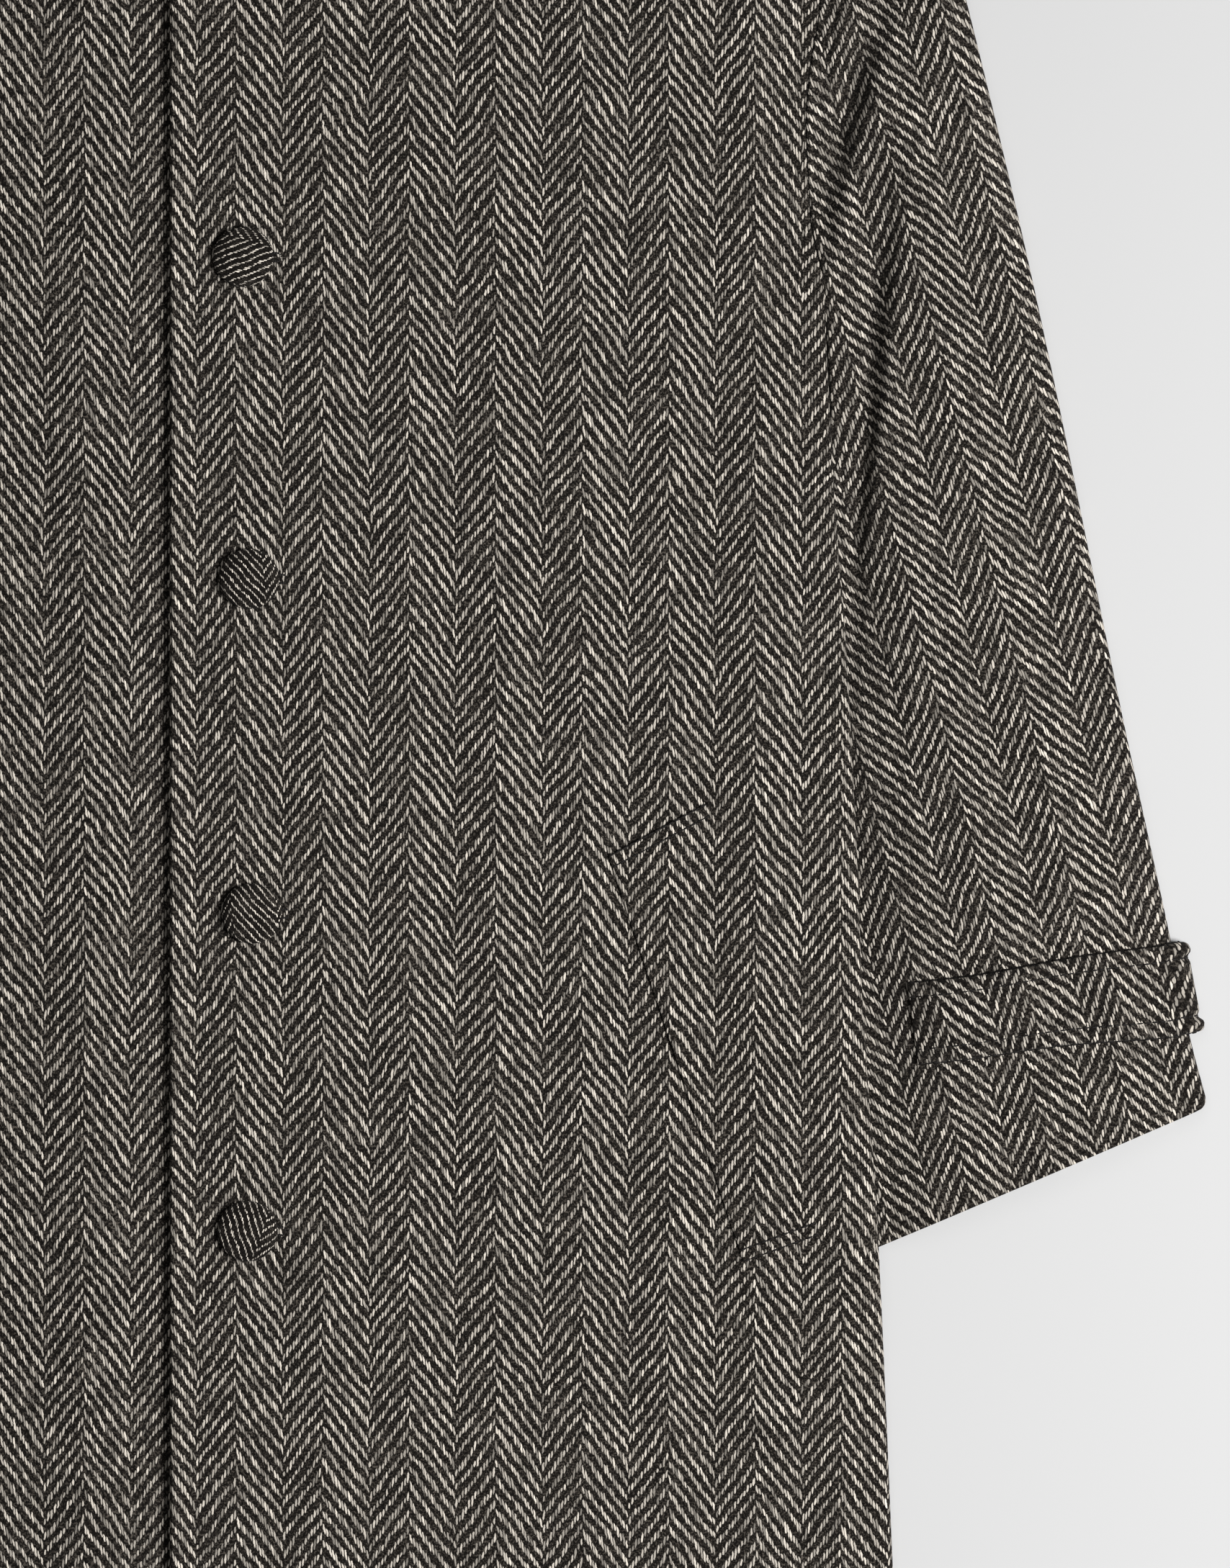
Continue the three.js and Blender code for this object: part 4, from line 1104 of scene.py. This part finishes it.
def makeCollar():
    neckWide, inset = body["neckHalfWidth"], collar["inset"]
    rollSide = np.array([collar["standTopHalfWidth"], collar["standTop"]], float)
    seamSide = np.array([neckWide - inset, 0.0])
    fallSide = np.array(collar["fallSide"], float)
    point, bend = np.array(collar["point"], float), np.array(collar["fallCurve"], float)
    firstAngle = math.asin(collar["halfGap"] / neckWide)

    def frontRoll(angle):
        return neckCurve(collar["standTopHalfWidth"], collar["frontRollDrop"], collar["standTop"], angle)

    def backRoll(angle):
        return neckCurve(collar["standTopHalfWidth"], collar["backRollDrop"], collar["standTop"], angle)

    def square(start, end, turn):
        along = (end - start) / np.linalg.norm(end - start)
        return turn * np.array([-along[1], along[0]])

    def frontEdge(angle):
        share = ((angle - firstAngle) / (math.pi / 2 - firstAngle))[:, None]
        return mix(mix(point, bend, share), mix(bend, fallSide, share), share)

    collarPiece(
        "collarStand", "collar_stand",
        lambda a, t: mix(neckCurve(neckWide - inset, body["frontNeckDrop"] - inset, 0, a), frontRoll(a), t),
        lambda a, t: mix(neckCurve(neckWide - inset, body["backNeckDrop"] - inset, 0, a), backRoll(a), t),
        lambda t: (mix(seamSide, rollSide, t), square(seamSide, rollSide, 1)),
        standRadius, edgeSteps(0, 1, 0.12, fine=(0.01, 0.03, 0.06)), 40)
    collarPiece(
        "collarFall", "collar_fall",
        lambda a, t: mix(frontRoll(a), frontEdge(a), t),
        lambda a, t: mix(backRoll(a), neckCurve(fallSide[0], collar["fallBackDrop"], fallSide[1], a), t),
        lambda t: (mix(rollSide, fallSide, t), square(rollSide, fallSide, -1)),
        standRadius + cloth["thick"] + cloth["gap"], edgeSteps(0, 1, 0.06, fine=(0.004, 0.012, 0.025)), 84)


makeCollar()

print("buttons and buttonholes")

buttonShape = {"under": [(13.0, 1.6), (13.6, 2.3)], "domeSteps": 22, "segments": 72}
gather = {"deep": 0.16, "pleats": 17, "height": 2.6, "wide": 1.2}    # the cover is drawn in below


def buttonProfile():
    # out from the edge of the foot, round the rim and up over the dome
    points = [(button["foot"], 0), *buttonShape["under"]]
    dome = button["height"] - button["rim"]
    for degrees in np.linspace(0, 90, buttonShape["domeSteps"])[:-1]:
        angle = math.radians(degrees)
        points.append((button["radius"] * max(0, math.cos(angle)) ** button["fullness"],
                       button["rim"] + dome * math.sin(angle)))
    return points


def makeButton(number, spec):
    rings = buttonProfile()
    segments = buttonShape["segments"]
    base = frontLevel - buttonDimple["deep"] + half + cloth["gap"]
    middleX, middleY = spec["across"], middleDown - spec["down"]
    turn = -math.radians(spec["turn"])
    arcs = [rings[-1][0]]
    walked = 0.0
    for (r1, z1), (r2, z2) in zip(rings[::-1], rings[-2::-1]):
        walked += math.hypot(r1 - r2, z1 - z2)
        arcs.append(walked + rings[-1][0])
    points, flats = [], []
    for (radius, height), arc in zip(rings, arcs[::-1]):
        near = math.exp(-((height - gather["height"]) / gather["wide"]) ** 2)
        for k in range(segments):
            angle = k / segments * math.tau
            r = radius + gather["deep"] * math.sin(angle * gather["pleats"] + number) * near
            points.append((middleX + r * math.cos(angle), middleY + r * math.sin(angle), base + height))
            flats.append((arc * math.cos(angle + turn) + spec["shift"], arc * math.sin(angle + turn)))
    faces = ringFaces(0, len(rings), segments)
    low, high = len(points), len(points) + 1
    points += [(middleX, middleY, base), (middleX, middleY, base + button["height"])]
    flats += [(spec["shift"], 0), (spec["shift"], 0)]
    last = (len(rings) - 1) * segments
    for k in range(segments):
        n = (k + 1) % segments
        faces += [(low, n, k), (last + k, last + n, high)]
    piece = addPiece("coveredButton" + str(number), points, faces, buttonTweed, flats)
    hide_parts("button_" + str(number))


buttonhole = {
    "from": -5.0, "to": 17.5, "halfWide": 1.9, "thread": 0.75, "stitches": 46, "steps": 4, "around": 8,
    "sunk": 0.6, "lift": 0.1, "flat": 0.6, "dent": 0.2,
}


def slotSpot(s, straight, radius):
    # a place on a long slot's outline and the way out from it, s along the outline
    bend = math.pi * radius
    left, right = buttonhole["from"] + radius, buttonhole["to"] - radius
    if s < straight:
        return (left + s, radius), (0, 1)
    if s < straight + bend:
        angle = math.pi / 2 - (s - straight) / radius
        middle = right
    elif s < 2 * straight + bend:
        return (right - (s - straight - bend), -radius), (0, -1)
    else:
        angle = -math.pi / 2 - (s - 2 * straight - bend) / radius
        middle = left
    normal = (math.cos(angle), math.sin(angle))
    return (middle + radius * normal[0], radius * normal[1]), normal


def makeButtonhole(number, spec):
    # a ring of stitches whose end shows beside the button
    base = frontLevel - buttonhole["sunk"] * buttonDimple["deep"] + half + buttonhole["lift"]
    radius = buttonhole["halfWide"]
    straight = buttonhole["to"] - buttonhole["from"] - 2 * radius
    total = 2 * straight + math.tau * radius
    count, around = buttonhole["stitches"] * buttonhole["steps"], buttonhole["around"]
    points = []
    for k in range(count):
        centre, normal = slotSpot(k / count * total, straight, radius)
        bulge = 1 - buttonhole["dent"] + buttonhole["dent"] * math.cos(k / buttonhole["steps"] * math.tau)
        thick = buttonhole["thread"] * bulge
        for j in range(around):
            turn = j / around * math.tau
            out, lift = thick * math.cos(turn), thick * buttonhole["flat"] * math.sin(turn)
            points.append((spec["across"] + centre[0] + normal[0] * out,
                           middleDown - spec["down"] + centre[1] + normal[1] * out, base + lift))
    faces = ringFaces(0, count, around, looped=True)
    piece = addPiece("buttonhole" + str(number), points, faces, darkThread)


for number, spec in enumerate(buttons, 1):
    makeButton(number, spec)
    makeButtonhole(number, spec)

print("done")
